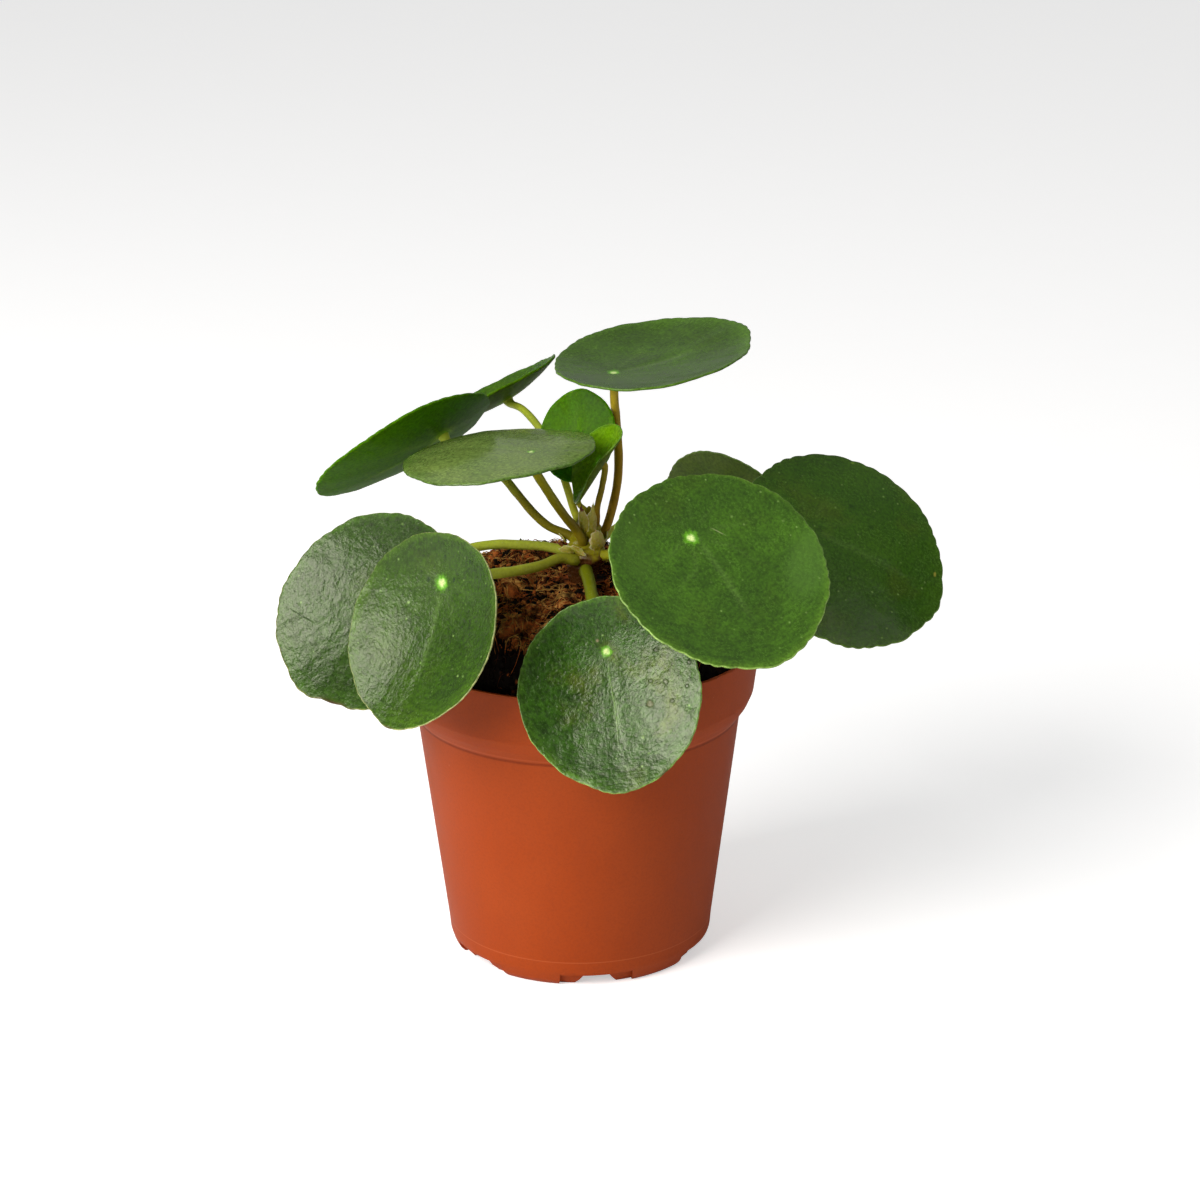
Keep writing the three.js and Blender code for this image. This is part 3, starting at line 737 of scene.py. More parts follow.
def piece_material(name, group, looks, reads, shader_looks, marks=()):
    """A material with the colour, roughness and bump of a group.

    The looks are inputs of the group, the reads name those of its inputs that are stored on the mesh, and the
    shader's looks are the same all over the piece.
    """
    material, tree, shader = new_material(name)
    node = tree.nodes.new("ShaderNodeGroup")
    node.node_tree = group
    given = dict(looks)
    if "Place" in node.inputs:
        given["Place"] = object_place(tree)
    for label, stored in reads.items():
        outputs = add("Attribute", tree=tree, attribute_name=stored, attribute_type="GEOMETRY").outputs
        given[label] = Value(outputs["Vector" if node.inputs[label].type == "VECTOR" else "Fac"])
    for label, value in given.items():
        link(value, node.inputs[label])
    colour, roughness, height = (Value(node.outputs[label]) for label in ("Colour", "Roughness", "Height"))
    if marks:
        colour, height = add_marks(given["Blade"], colour, height, marks)
    raised = add("Bump", {"Height": height, "Distance": 1.0, "Strength": 1.0}).outputs[0]
    surface = {"Base Color": colour, "Roughness": roughness, "Normal": Value(raised)}
    for label, value in {**surface, **shader_looks}.items():
        link(value, shader[label])
    tidy_nodes(tree)
    return material


def add_marks(blade, colour, height, marks):
    """Lays small healed scars and spots, and broad patches of painted light, over a blade's colour and height."""
    frayed = band(noise(blade, 1100.0, 2.0), 0.3, 0.7, 0.7, 1.3)
    for mark in marks:
        place = add("Mapping", {
            "Vector": blade, "Location": (*mark.middle, 0), "Rotation": (0, 0, math.radians(mark.turn)),
            "Scale": (*mark.size, 1000.0),
        }, vector_type="TEXTURE").outputs[0]
        shown = band(vector("LENGTH", Value(place)) * frayed, 0.5, 1.1, mark.strength, 0.0)
        colour = mixed(shown, colour, mark.colour)
        if mark.rise:
            height = height + shown * mark.rise
    return colour, height


def blade_group():
    """Colour, roughness and height of a round leaf from its own blade coordinates."""
    group, given = new_group("Blade surface", {
        "Blade": (0, 0, 0), "Upper": 1.0, "Seed": 0.0, "Scorch": 0.0,
        "Upper colour": (0.03, 0.085, 0.006), "Patch colour": (0.05, 0.13, 0.01),
        "Margin colour": (0.08, 0.19, 0.015), "Under colour": (0.06, 0.15, 0.005),
        "Vein colour": (0.16, 0.3, 0.06), "Hub colour": (0.75, 0.9, 0.35), "Halo colour": (0.14, 0.44, 0.012),
        "Rim line and highlight colour": (0.2, 0.34, 0.06), "Yellowed colour": (0.10, 0.115, 0.006),
        "Dot colour": (0.012, 0.045, 0.003), "Burnt colour": (0.05, 0.014, 0.008),
        "Veins": 0.08, "Crease": 0.0, "Speckles": 0.6, "Yellowing": 0.1, "Wrinkle height": 0.00006,
        "Painted wrinkle shade": 0.08, "Slopes": (0, 0, 0), "Hub size": 1.0, "Hub shift": (0, 0, 0), "Margin width": 0.12,
    })
    along, across, share = parted(given["Blade"])
    flat = placed(along, across, 0.0)
    seeded = placed(along, across, given["Seed"])
    reach = vector("LENGTH", flat)

    # Coordinates that run round the hub, stretched along the rings
    arc = vector("SCALE", vector("NORMALIZE", flat), scale=0.011)
    rings = vector("ADD", arc, placed(0.0, 0.0, reach + given["Seed"]))

    blotch = noise(seeded, 75.0, 3.0, 0.55)
    cloud = noise(seeded, 34.0, 2.0, 0.5)
    fine = noise(seeded, 420.0, 3.0, 0.6)
    grain = noise(seeded, 1100.0, 3.0, 0.7)
    wrinkle = noise(rings, 1000.0, 3.0, 0.6, 0.3)

    # Veins fan out from the hub; the first runs on to the apex as the midrib
    wiggle = (noise(seeded, 90.0, 1.0) - 0.5) * 0.7
    fan = abs(maths("SINE", (maths("ARCTAN2", across, along) + wiggle) * 4.5))
    vein = band(fan * reach * (2 / 9), 0.0001, 0.0012, 1, 0) * band(share, 0.1, 0.8, 1, 0)
    vein = vein * band(reach, 0.002, 0.007)
    off_rib = abs(across + wiggle * 0.002)
    on_rib = band(along, 0.002, 0.005) * band(share, 0.45, 0.75, 1, 0)
    veins = maths("MAXIMUM", vein * 0.6, band(off_rib, 0.0003, 0.0016, 1, 0) * on_rib)
    broken = band(noise(seeded, 260.0, 2.0), 0.32, 0.5)
    crease = band(off_rib, 0.00006, 0.00026, 1, 0) * on_rib * broken * given["Crease"]

    # Pale pores of two sizes and a few dark dots
    pores = []
    for scale, size, least in ((330.0, 0.15, 0.35), (120.0, 0.08, 0.5)):
        away, picks = cells(seeded, scale)
        chosen = maths("GREATER_THAN", picks[0], least) * picks[1]
        pores.append(band(away, size * 0.3, size, 1, 0) * chosen)
    pore = maths("MAXIMUM", *pores) * given["Speckles"]
    dot = band(away, 0.06, 0.16, 1, 0) * maths("GREATER_THAN", picks[2], 0.8)

    # Upper face, with a pale hub in an uneven bright halo
    yellow = noise(vector("ADD", seeded, (0.31, 0.17, 0.0)), 55.0, 4.0, 0.6)
    near_edge = band(share, 1.0 - given["Margin width"], 1.0) * band(cloud, 0.25, 0.7, 0.2, 1.0)
    from_hub = vector("LENGTH", vector("SUBTRACT", flat, given["Hub shift"])) / given["Hub size"]
    ragged = from_hub * band(noise(seeded, 900.0, 2.0), 0.3, 0.7, 0.85, 1.18)
    upper = layered(
        given["Upper colour"],
        (band(blotch, 0.38, 0.66), given["Patch colour"]),
        (band(cloud, 0.3, 0.7, 0.0, 0.4), given["Upper colour"]),
        (band(fine, 0.42, 0.66, 0.0, 0.3), given["Patch colour"]),
        (band(yellow, 0.5, 0.72) * given["Yellowing"], given["Yellowed colour"]),
        (near_edge * 0.7, given["Margin colour"]),
        (veins * given["Veins"], given["Vein colour"]),
        (crease * 0.55, given["Vein colour"]),
        (pore, given["Vein colour"]),
        (dot * 0.5, given["Dot colour"]),
        (band(ragged, 0.0010, 0.0030, 1, 0), given["Halo colour"]),
        (band(ragged, 0.0005, 0.0016, 1, 0), given["Hub colour"]),
    )

    # Under face: paler veins and a pale cone round the stalk
    under = layered(
        given["Under colour"],
        (band(blotch, 0.35, 0.7, 0.0, 0.5), given["Patch colour"]),
        (veins * 0.3, given["Vein colour"]),
        (band(reach, 0.0012, 0.0055, 0.85, 0), given["Vein colour"]),
    )

    colour = mixed(band(given["Upper"], 0.35, 0.65), under, upper)
    # Painted highlight: a thin line along the margin, partly the margin's own pale line and on several leaves
    # brightened to copy light on the rounded edge
    rim = band(share, 0.988, 0.998) * band(fine, 0.3, 0.6, 0.5, 1.0)
    colour = mixed(rim * 0.75, colour, given["Rim line and highlight colour"])
    # Random grain tone, and painted shade and light that follow the wrinkles of the bump
    tone = band(grain, 0.35, 0.65, 0.78, 1.22) + band(wrinkle, 0.36, 0.64, -1.0, 1.0) * given["Painted wrinkle shade"]
    colour = mixed(1.0, colour, tone, "MULTIPLY")
    colour = mixed(given["Scorch"] * band(fine, 0.3, 0.55, 0.7, 1.0), colour, given["Burnt colour"])

    glossy = band(noise(seeded, 160.0, 2.0), 0.3, 0.7, 0.16, 0.23) + band(grain, 0.35, 0.65, -0.03, 0.08)
    roughness = between(given["Upper"], 0.5, glossy)

    height = wrinkle * 0.7 + noise(seeded, 1250.0, 3.0, 0.65) * 0.6 + noise(seeded, 300.0, 2.0) * 1.4
    lie = vector("DOT_PRODUCT", placed(along, across, share * share), given["Slopes"])
    height = height * given["Wrinkle height"] + lie + crease * 0.00008 + pore * 0.00003
    return close_group(group, colour, roughness, height)


def stalk_group():
    """Colour and height of a stalk, from its root's colour to its tip's, with pale flecks."""
    group, given = new_group("Stalk surface", {
        "Place": (0, 0, 0), "Share": 0.0, "Root colour": (0.12, 0.07, 0.012), "Tip colour": (0.2, 0.24, 0.03),
        "Fleck colour": (0.55, 0.6, 0.25), "Stain colour": (0.12, 0.1, 0.015), "Change at": 0.5, "Flecks": 0.4,
    })
    broad = noise(given["Place"], 160.0, 2.0)
    fine = noise(given["Place"], 1200.0, 3.0)
    shifted = given["Share"] + (broad - 0.5) * 0.5
    fleck = band(cells(given["Place"], 900.0)[0], 0.08, 0.3, 1, 0) * given["Flecks"]
    colour = layered(
        given["Root colour"],
        (band(shifted, given["Change at"] - 0.3, given["Change at"] + 0.3), given["Tip colour"]),
        (fleck * 0.4, given["Fleck colour"]),
        (band(fine, 0.35, 0.75, 0.0, 0.2), given["Stain colour"]),
    )
    return close_group(group, colour, band(broad, 0.3, 0.7, 0.38, 0.5), (fine + fleck) * 0.00003)


def stem_group():
    """The short stem: green-brown nodes, dark rusty brown below, partly its woody base and partly painted shade
    under the crown, with corky marks.
    """
    group, given = new_group("Stem bark", {
        "Place": (0, 0, 0), "Low bark and shade colour": (0.09, 0.028, 0.008), "Upper colour": (0.34, 0.3, 0.008),
        "Cork colour": (0.12, 0.06, 0.008),
    })
    broad = noise(given["Place"], 300.0, 3.0)
    fine = noise(given["Place"], 1300.0, 4.0, 0.6)
    level = parted(given["Place"])[2] + (broad - 0.5) * 0.006
    # Darker below the nodes: partly the woody base, partly painted shade under the crown
    colour = layered(
        given["Low bark and shade colour"],
        (band(level, 0.1180, 0.1202), given["Upper colour"]),
        (band(fine, 0.4, 0.7, 0.0, 0.5), given["Cork colour"]),
    )
    return close_group(group, colour, band(fine, 0.3, 0.7, 0.18, 0.4), fine * 0.00015)


def scale_group():
    """Dry papery scales: pale green to beige, streaked along, browned at the tip of the toned ones, with pale
    edges that are partly thin membrane and partly a painted highlight.
    """
    group, given = new_group("Papery scale", {
        "Place": (0, 0, 0), "Along": 0.0, "Tone": 0.0, "Edge": 0.0, "Pale colour": (0.66, 0.56, 0.14),
        "Green colour": (0.36, 0.3, 0.012), "Streak colour": (0.7, 0.64, 0.26), "Edge and highlight colour": (0.92, 0.88, 0.5),
        "Tip colour": (0.2, 0.025, 0.008),
    })
    broad = noise(given["Place"], 420.0, 3.0)
    fine = noise(given["Place"], 1600.0, 3.0)
    ragged = given["Along"] + (broad - 0.5) * 0.5
    fresh = band(ragged, 0.2, 0.95, 1.0, 0.15) * band(given["Tone"], 0, 0.6, 0.8, 1)
    pale_edge_and_glint = given["Edge"] + (fine - 0.5) * 0.3
    tipped = band(ragged, 0.78, 0.92) * band(given["Tone"], 0.7, 1.0)
    tipped = maths("MAXIMUM", tipped, band(given["Tone"], 1.1, 1.3, 0.0, 0.9))
    colour = layered(
        given["Pale colour"],
        (fresh, given["Green colour"]),
        (band(fine, 0.45, 0.75, 0.0, 0.3), given["Streak colour"]),
        # Pale edges: thin membrane, partly a painted highlight
        (band(pale_edge_and_glint, 0.82, 1.02, 0.0, 0.7), given["Edge and highlight colour"]),
        (tipped, given["Tip colour"]),
    )
    return close_group(group, colour, band(fine, 0.3, 0.7, 0.25, 0.42), fine * 0.00012)


def pot_group():
    """Moulded terracotta-coloured plastic: fine grain, faint streaks up the wall, specks, a paler rim, painted
    highlight lines and a painted shadow line under the collar.
    """
    group, given = new_group("Moulded plastic", {
        "Place": (0, 0, 0), "Colour": (0.37, 0.053, 0.006), "Worn colour": (0.46, 0.085, 0.018),
        "Streak colour": (0.25, 0.045, 0.014), "Grain colour": (0.2, 0.035, 0.01),
        "Speck colour": (0.5, 0.14, 0.06), "Grain height": 0.000012,
    })
    x, y, z = parted(given["Place"])
    streak = noise(placed(x, y, z * 0.12), 120.0, 3.0)
    cloud = noise(given["Place"], 28.0, 3.0)
    grain = noise(given["Place"], 1500.0, 3.0, 0.6)
    away, picks = cells(given["Place"], 150.0)
    speck = band(away, 0.02, 0.06, 1, 0) * maths("GREATER_THAN", picks[0], 0.8)
    rim = band(z, POT_HEIGHT - 0.0006, POT_HEIGHT - 0.0001)
    colour = layered(
        given["Colour"],
        (band(cloud, 0.3, 0.75, 0.0, 0.25), given["Worn colour"]),
        (band(streak, 0.35, 0.75, 0.0, 0.12), given["Streak colour"]),
        (band(grain, 0.4, 0.7, 0.0, 0.22), given["Grain colour"]),
        (speck * 0.4, given["Speck colour"]),
        # Painted highlight lines at the parting edge and the collar's lip, and a painted shadow line under the
        # collar
        *((band(abs(z - at), half * 0.3, half, strength, 0.0), tint) for at, half, strength, tint in POT_PAINTED_LIGHT_LINES),
        (rim * 0.5, given["Worn colour"]),
    )
    height = (grain + streak * 2.0) * given["Grain height"]
    return close_group(group, colour, band(cloud, 0.3, 0.7, 0.46, 0.56), height)


def soil_group():
    """Dark, damp, crumbly earth; the shade of a clod, crumb or fibre picks its colour. Painted light and shade
    make it lighter towards the top of the mound and darker lower down, with painted shade in dark hollows.
    """
    group, given = new_group("Earth", {
        "Place": (0, 0, 0), "Shade": 0.0, "Dark colour": (0.006, 0.003, 0.0015),
        "Brown colour": (0.6, 0.15, 0.03), "Pale colour": (0.8, 0.42, 0.11), "Clod height": 0.0003,
    })
    place, dark = given["Place"], given["Dark colour"]
    coarse = noise(place, 300.0, 4.0, 0.6)
    patch = noise(place, 90.0, 3.0)
    hollow_shade = noise(place, 190.0, 3.0, 0.6)
    # Painted light and shade: the colour level rises towards the top of the mound and falls lower down
    level = given["Shade"] + (patch - 0.5) * 2.0 + band(parted(place)[2], 0.099, 0.111, -0.34, 0.3)
    colour = layered(
        dark,
        (band(level, 0.46, 0.9), given["Brown colour"]),
        (band(level, 0.85, 1.3), given["Pale colour"]),
        (band(coarse, 0.4, 0.75, 0.0, 0.7), dark),
        # Painted shade: dark patches standing for shaded hollows between the clods
        (band(hollow_shade, 0.48, 0.64, 0.0, 0.8), dark),
    )
    return close_group(group, colour, band(coarse, 0.3, 0.7, 0.75, 0.95), coarse * given["Clod height"])


# Leaves

def blank_leaf(name, sectors, rings):
    """A flat disc, two units thick, of rings and sectors that meet at its middle, modelled once and copied."""
    deselect()
    bpy.ops.mesh.primitive_circle_add(vertices=sectors, radius=1.0, location=(0, 0, 0))
    blank = bpy.context.active_object
    blank.name = name
    edit(blank)
    for outer, inner in zip(rings, rings[1:]):
        bpy.ops.mesh.extrude_region_move()
        bpy.ops.transform.resize(value=(inner / outer, inner / outer, 1), center_override=(0, 0, 0))
    bpy.ops.mesh.merge(type="CENTER")
    bpy.ops.mesh.select_all(action="SELECT")
    bpy.ops.transform.translate(value=(0, 0, 1))
    bpy.ops.mesh.extrude_region_move(TRANSFORM_OT_translate={"value": (0, 0, -2)})
    bpy.ops.mesh.select_all(action="SELECT")
    bpy.ops.mesh.normals_make_consistent(inside=False)
    leave_edit()
    return blank


def scallops(angle, count, phase):
    """Shallow rounded lobes of uneven length with a notch between them, from -1 to 1."""
    warped = angle * count / 2 + 1.3 * np.sin(3 * angle + phase) + 0.9 * np.sin(7 * angle + 2 * phase)
    return 2 * np.abs(np.sin(warped)) - 1


def waves(points, length, seed, count=7):
    """A gentle repeatable unevenness over the given points, about -1 to 1, with this wave length."""
    rng = np.random.default_rng(seed)
    total = np.zeros(len(points))
    for _ in range(count):
        turn, phase = rng.uniform(0, 2 * math.pi, 2)
        pace = 2 * math.pi / (length * rng.uniform(0.7, 1.5))
        total += np.sin(pace * (points[:, 0] * math.cos(turn) + points[:, 1] * math.sin(turn)) + phase)
    return total / math.sqrt(count) / 1.4


def blade_points(leaf, index, blank, sizes):
    """Places the blank's points on the leaf: (points in the blade's frame, (along, across, share), upper)."""
    length, width = leaf.size
    draw = random_from(300 + 17 * index)
    lobes_at, swell_at, ripple_at, buckle_at = (next(draw) * math.pi for _ in range(4))
    wave = YOUNG_WAVE if leaf.young else 1.0
    share = np.hypot(blank[:, 0], blank[:, 1])
    angle = np.arctan2(blank[:, 1], blank[:, 0])
    reach = (
        1 + APEX_POINT * np.exp(-((angle / APEX_SPREAD) ** 2))
        + wave * LOBE_DEPTH * np.sin(LOBES * angle + lobes_at)
        + wave * SWELL_DEPTH * np.sin(3 * angle + swell_at)
        + SCALLOPS.get(leaf.place, USUAL_SCALLOP) * scallops(angle, SCALLOP_COUNT, swell_at)
    )
    for at, spread, depth in BITES.get(leaf.place, ()):
        reach -= depth * np.exp(-(degrees_from(angle, at) / spread) ** 4)
    x = (leaf.off * length + length / 2 * np.cos(angle) * reach) * share
    y = width / 2 * np.sin(angle) * reach * share
    height = -leaf.drop * ((2 * x / length) ** 2 + (2 * y / width) ** 2)
    height += wave * share ** 4 * RIPPLE * np.sin(LOBES * angle + ripple_at)
    height += wave * share ** 2 * BUCKLE * np.sin(4 * angle + buckle_at)

    # A sunken midrib, low puckers and a dimple over the stalk
    from_hub = np.hypot(x, y)
    rib = smooth(x, 0.0005, 0.004) * (1 - smooth(share, 0.4, 0.9)) * np.exp(-((y / RIB_REACH) ** 2))
    height -= sizes.rib_depth * rib
    flat = np.stack([x, y], 1)
    uneven = waves(flat, LONG_WAVE, 40 + index) + 0.5 * waves(flat, SHORT_WAVE, 80 + index)
    height += sizes.pucker * uneven * smooth(from_hub, 0.002, 0.008) * (YOUNG_PUCKER if leaf.young else 1.0)
    height -= DIMPLE_DEPTH * np.exp(-((from_hub / DIMPLE_REACH) ** 2))

    # The margin is rounded over half the thickness
    start = 1 - sizes.leaf_thickness / 2 / (min(length, width) / 2)
    over = np.clip((share - start) / (1 - start), 0, 1)
    half = sizes.leaf_thickness / 2 * np.sqrt(1 - over ** 2)
    side = np.where(blank[:, 2] > 0, 1.0, -1.0)
    places = np.stack([x, y, height], 1)
    if leaf.roll:
        turn = y / leaf.roll
        places[:, 1] = leaf.roll * np.sin(turn)
        places[:, 2] += leaf.roll * (1 - np.cos(turn))
        places[:, 1] -= side * half * np.sin(turn)
        places[:, 2] += side * half * np.cos(turn)
    else:
        places[:, 2] += side * half
    upper = np.where(over >= 1, 0.5, (side + 1) / 2)
    return places, np.stack([x, y, share], 1), upper


def blade_matrix(leaf):
    turn = (
        Matrix.Rotation(math.radians(leaf.way), 4, "Z")
        @ Matrix.Rotation(math.radians(leaf.lean), 4, "Y")
        @ Matrix.Rotation(math.radians(leaf.turn), 4, "Z")
    )
    return Matrix.Translation(Vector(leaf.hub) + pot_axis()) @ turn


def move_points(points, matrix):
    turn = np.array(matrix.to_3x3())
    return points @ turn.T + np.array(matrix.translation)


def build_leaf(leaf, index, blank, material, sizes):
    deselect()
    thing = blank.copy()
    thing.data = blank.data.copy()
    thing.name = "blade_" + leaf.place
    bpy.context.collection.objects.link(thing)
    places, coords, upper = blade_points(leaf, index, points_of(blank), sizes)
    keep_values(thing, "blade", coords)
    keep_values(thing, "upper", upper)
    keep_values(thing, "scorch", scorch_of(leaf, coords))
    place_points(thing, move_points(places, blade_matrix(leaf)))
    return finish_piece(thing, material, "young_leaf" if leaf.young else "leaf", "leaf_" + leaf.place)


def scorch_of(leaf, coords):
    """Where a leaf's margin is brown: from 0 to 1 for each point."""
    angle = np.arctan2(coords[:, 1], coords[:, 0])
    total = np.zeros(len(coords))
    for at, spread, depth in SCORCHED.get(leaf.place, ()):
        near = np.exp(-(degrees_from(angle, at) / spread) ** 2)
        total = np.maximum(total, near * smooth(coords[:, 2], 1 - depth, 1.0))
    return total


# Stalks

def stem_radius(height):
    heights = [point[1] for point in STEM_PROFILE]
    return float(np.interp(height, heights, [point[0] for point in STEM_PROFILE]))


def stem_axis_x(height):
    return STEM_X + np.maximum(0, height - STEM_LEAN_FROM) * STEM_LEAN


def stalk_points(leaf):
    """The way points of a stalk from inside the stem to the middle of the blade's hub."""
    stalk = leaf.stalk
    side, climb = math.radians(stalk.side), math.radians(stalk.climb)
    leave = np.array([math.cos(side) * math.cos(climb), math.sin(side) * math.cos(climb), math.sin(climb)])
    depth = stem_radius(stalk.root) - POCKET_DEPTH
    root = np.array([
        stem_axis_x(stalk.root) + depth * math.cos(side),
        depth * math.sin(side),
        stalk.root,
    ])
    face = np.array(blade_matrix(leaf).to_3x3().col[2])
    end = np.array(leaf.hub) - face * 0.0002
    return [root, root + leave * ROOT_STRAIGHT, *(np.array(p) for p in stalk.via), end - face * stalk.meet, end]


def smooth_curve(points, steps):
    """Evenly spaced points on the centripetal curve through the given ones."""
    ends = [2 * points[0] - points[1], *points, 2 * points[-1] - points[-2]]
    dense = []
    for a, b, c, d in zip(ends, ends[1:], ends[2:], ends[3:]):
        gaps = [max(np.linalg.norm(q - p) ** 0.5, 1e-5) for p, q in ((a, b), (b, c), (c, d))]
        out = ((b - a) / gaps[0] - (c - a) / (gaps[0] + gaps[1]) + (c - b) / gaps[1]) * gaps[1]
        into = ((c - b) / gaps[1] - (d - b) / (gaps[1] + gaps[2]) + (d - c) / gaps[2]) * gaps[1]
        for t in np.linspace(0, 1, 24, endpoint=False):
            dense.append(
                (2 * t ** 3 - 3 * t ** 2 + 1) * b + (t ** 3 - 2 * t ** 2 + t) * out
                + (3 * t ** 2 - 2 * t ** 3) * c + (t ** 3 - t ** 2) * into
            )
    dense.append(points[-1])
    dense = np.array(dense)
    run = np.concatenate([[0], np.cumsum(np.linalg.norm(np.diff(dense, axis=0), axis=1))])
    even = np.linspace(0, run[-1], steps)
    return np.stack([np.interp(even, run, dense[:, k]) for k in range(3)], 1), run[-1]


def tube(name, points, radii, sides_step=4):
    """A curve with a round bevel of changing radius, turned into a mesh."""
    curve = bpy.data.curves.new(name, "CURVE")
    curve.dimensions = "3D"
    curve.bevel_depth = 1.0
    curve.bevel_resolution = sides_step
    curve.use_fill_caps = True
    line = curve.splines.new("POLY")
    line.points.add(len(points) - 1)
    for spot, place, radius in zip(line.points, points, radii):
        spot.co = (*place, 1.0)
        spot.radius = radius
    thing = bpy.data.objects.new(name, curve)
    bpy.context.collection.objects.link(thing)
    select_only(thing)
    bpy.ops.object.convert(target="MESH")
    return bpy.context.active_object


def build_stalk(leaf, material, sizes):
    route, length = smooth_curve(stalk_points(leaf), STALK_STEPS)
    route = from_axis(route)
    share = np.linspace(0, 1, len(route))
    left = (1 - share) * length
    root = np.clip(1 - share / ROOT_FLARE_SHARE, 0, 1) ** 2
    radii = leaf.stalk.radius * (1 + ROOT_FLARE * root + sizes.hub_flare * np.clip(1 - left / 0.004, 0, 1) ** 2)
    radii *= 1 + 0.02 * np.sin(share * 23 + leaf.way) + 0.015 * np.sin(share * 51 + leaf.turn)
    thing = tube("stalk_" + leaf.place, route, radii)
    places = points_of(thing)
    nearest = np.array([np.argmin(((route - p) ** 2).sum(1)) for p in places])
    keep_values(thing, "stalk", share[nearest])
    return finish_piece(thing, material, "stalk", "petiole_" + leaf.place)


# Stem and its papery scales

def build_stem(material):
    profile = rounded([(NEAR_AXIS, STEM_PROFILE[0][1]), *STEM_PROFILE, (NEAR_AXIS, STEM_TIP)], 0.0008, 4)
    thing = turned("stem_core", profile, STEM_SIDES)
    edit(thing)
    bpy.ops.mesh.subdivide(number_cuts=1)
    leave_edit()
    places = points_of(thing)
    angle = np.arctan2(places[:, 1], places[:, 0])
    height = places[:, 2]
    out = np.hypot(places[:, 0], places[:, 1])
    above = smooth(height, 0.110, 0.113)
    grow = out * above * (0.04 * np.sin(3 * angle + height * 1000) + 0.02 * np.sin(7 * angle - height * 1900))
    grow += 0.00012 * above * np.sin(height * 3900 + 2 * np.sin(angle))
    for side, at, stands, spread in SWELLINGS:
        turn = np.abs(degrees_from(angle, side))
        along = np.radians(turn) * out
        grow += stands * np.exp(-((along ** 2 + (height - at) ** 2) / spread ** 2)) * (out > 0.002)
    scale = 1 + grow / np.maximum(out, 1e-4)
    places[:, :2] *= scale[:, None]
    places[:, 0] += stem_axis_x(height)
    place_points(thing, from_axis(places))
    return finish_piece(thing, material, "stem", "stem")


def build_scales(blank, material):
    """Thin cupped scales round the crown, made into one piece."""
    template = points_of(blank)
    faces = [tuple(face.vertices) for face in blank.data.polygons]
    share = np.hypot(template[:, 0], template[:, 1])
    angle = np.arctan2(template[:, 1], template[:, 0])
    points, joined, along, tones = [], [], [], []
    for index, scale in enumerate(SCALES):
        base, tip = np.array(scale.base), np.array(scale.tip)
        middle = (base + tip) / 2
        out = unit(middle - (stem_axis_x(middle[2]), 0.0, middle[2]))
        run = unit(tip - base)
        out = unit(out - run * (out @ run))
        side = np.cross(run, out)
        ragged = 1 + share ** 6 * (0.06 * np.sin(9 * angle + index) + 0.05 * np.sin(17 * angle + 2 * index))
        u = (template[:, 0] * ragged + 1) / 2
        narrow = 1 - scale.point * smooth(template[:, 0], 0.0, 1.05)
        across = template[:, 1] * ragged * narrow * scale.width / 2
        bend = across / scale.cup
        fold = 0.00010 * np.sin(across * 5200 + index) + 0.00016 * np.sin(u * 9 + index) * share
        lift = scale.bulge * 4 * u * (1 - u) - scale.cup * (1 - np.cos(bend)) + fold
        half = 0.00013 * np.sqrt(1 - np.clip((share - 0.9) / 0.1, 0, 1) ** 2) * np.where(template[:, 2] > 0, 1, -1)
        local = base + np.outer(u * np.linalg.norm(tip - base), run)
        local = local + np.outer(scale.cup * np.sin(bend), side) + np.outer(lift + half, out)
        start = sum(len(p) for p in points)
        points.append(from_axis(local))
        along.append(u)
        tones.append(np.full(len(u), scale.tone))
        joined += [tuple(v + start for v in face) for face in faces]
    thing = mesh_object("stem_scales", np.concatenate(points), joined)
    keep_values(thing, "along", np.concatenate(along))
    keep_values(thing, "tone", np.concatenate(tones))
    keep_values(thing, "edge", np.tile(share, len(SCALES)))
    return finish_piece(thing, material, "stem")


# Pot

def inside_radius(height):
    heights = [point[1] for point in POT_OUTSIDE]
    return float(np.interp(height, heights, [point[0] for point in POT_OUTSIDE])) - WALL


def wedge(name, outline, near, far, side):
    """A shape in the X-Z plane pushed out from near to far and turned to face the given side."""
    count = len(outline)
    points = [(x, near, z) for x, z in outline] + [(x, far, z) for x, z in outline]
    faces = [tuple(range(count)), tuple(range(2 * count - 1, count - 1, -1))]
    for i in range(count):
        j = (i + 1) % count
        faces.append((j, i, i + count, j + count))
    thing = mesh_object(name, points, faces)
    place_points(thing, move_points(points_of(thing), Matrix.Rotation(math.radians(side - 90), 4, "Z")))
    return thing


def apply_modifier(thing, kind, **settings):
    select_only(thing)
    modifier = thing.modifiers.new(kind.title(), kind)
    for name, value in settings.items():
        setattr(modifier, name, value)
    bpy.ops.object.modifier_apply(modifier=modifier.name)


def cut(thing, cutter):
    face_outward(cutter)
    apply_modifier(thing, "BOOLEAN", operation="DIFFERENCE", solver="EXACT", object=cutter)
    bpy.data.objects.remove(cutter)


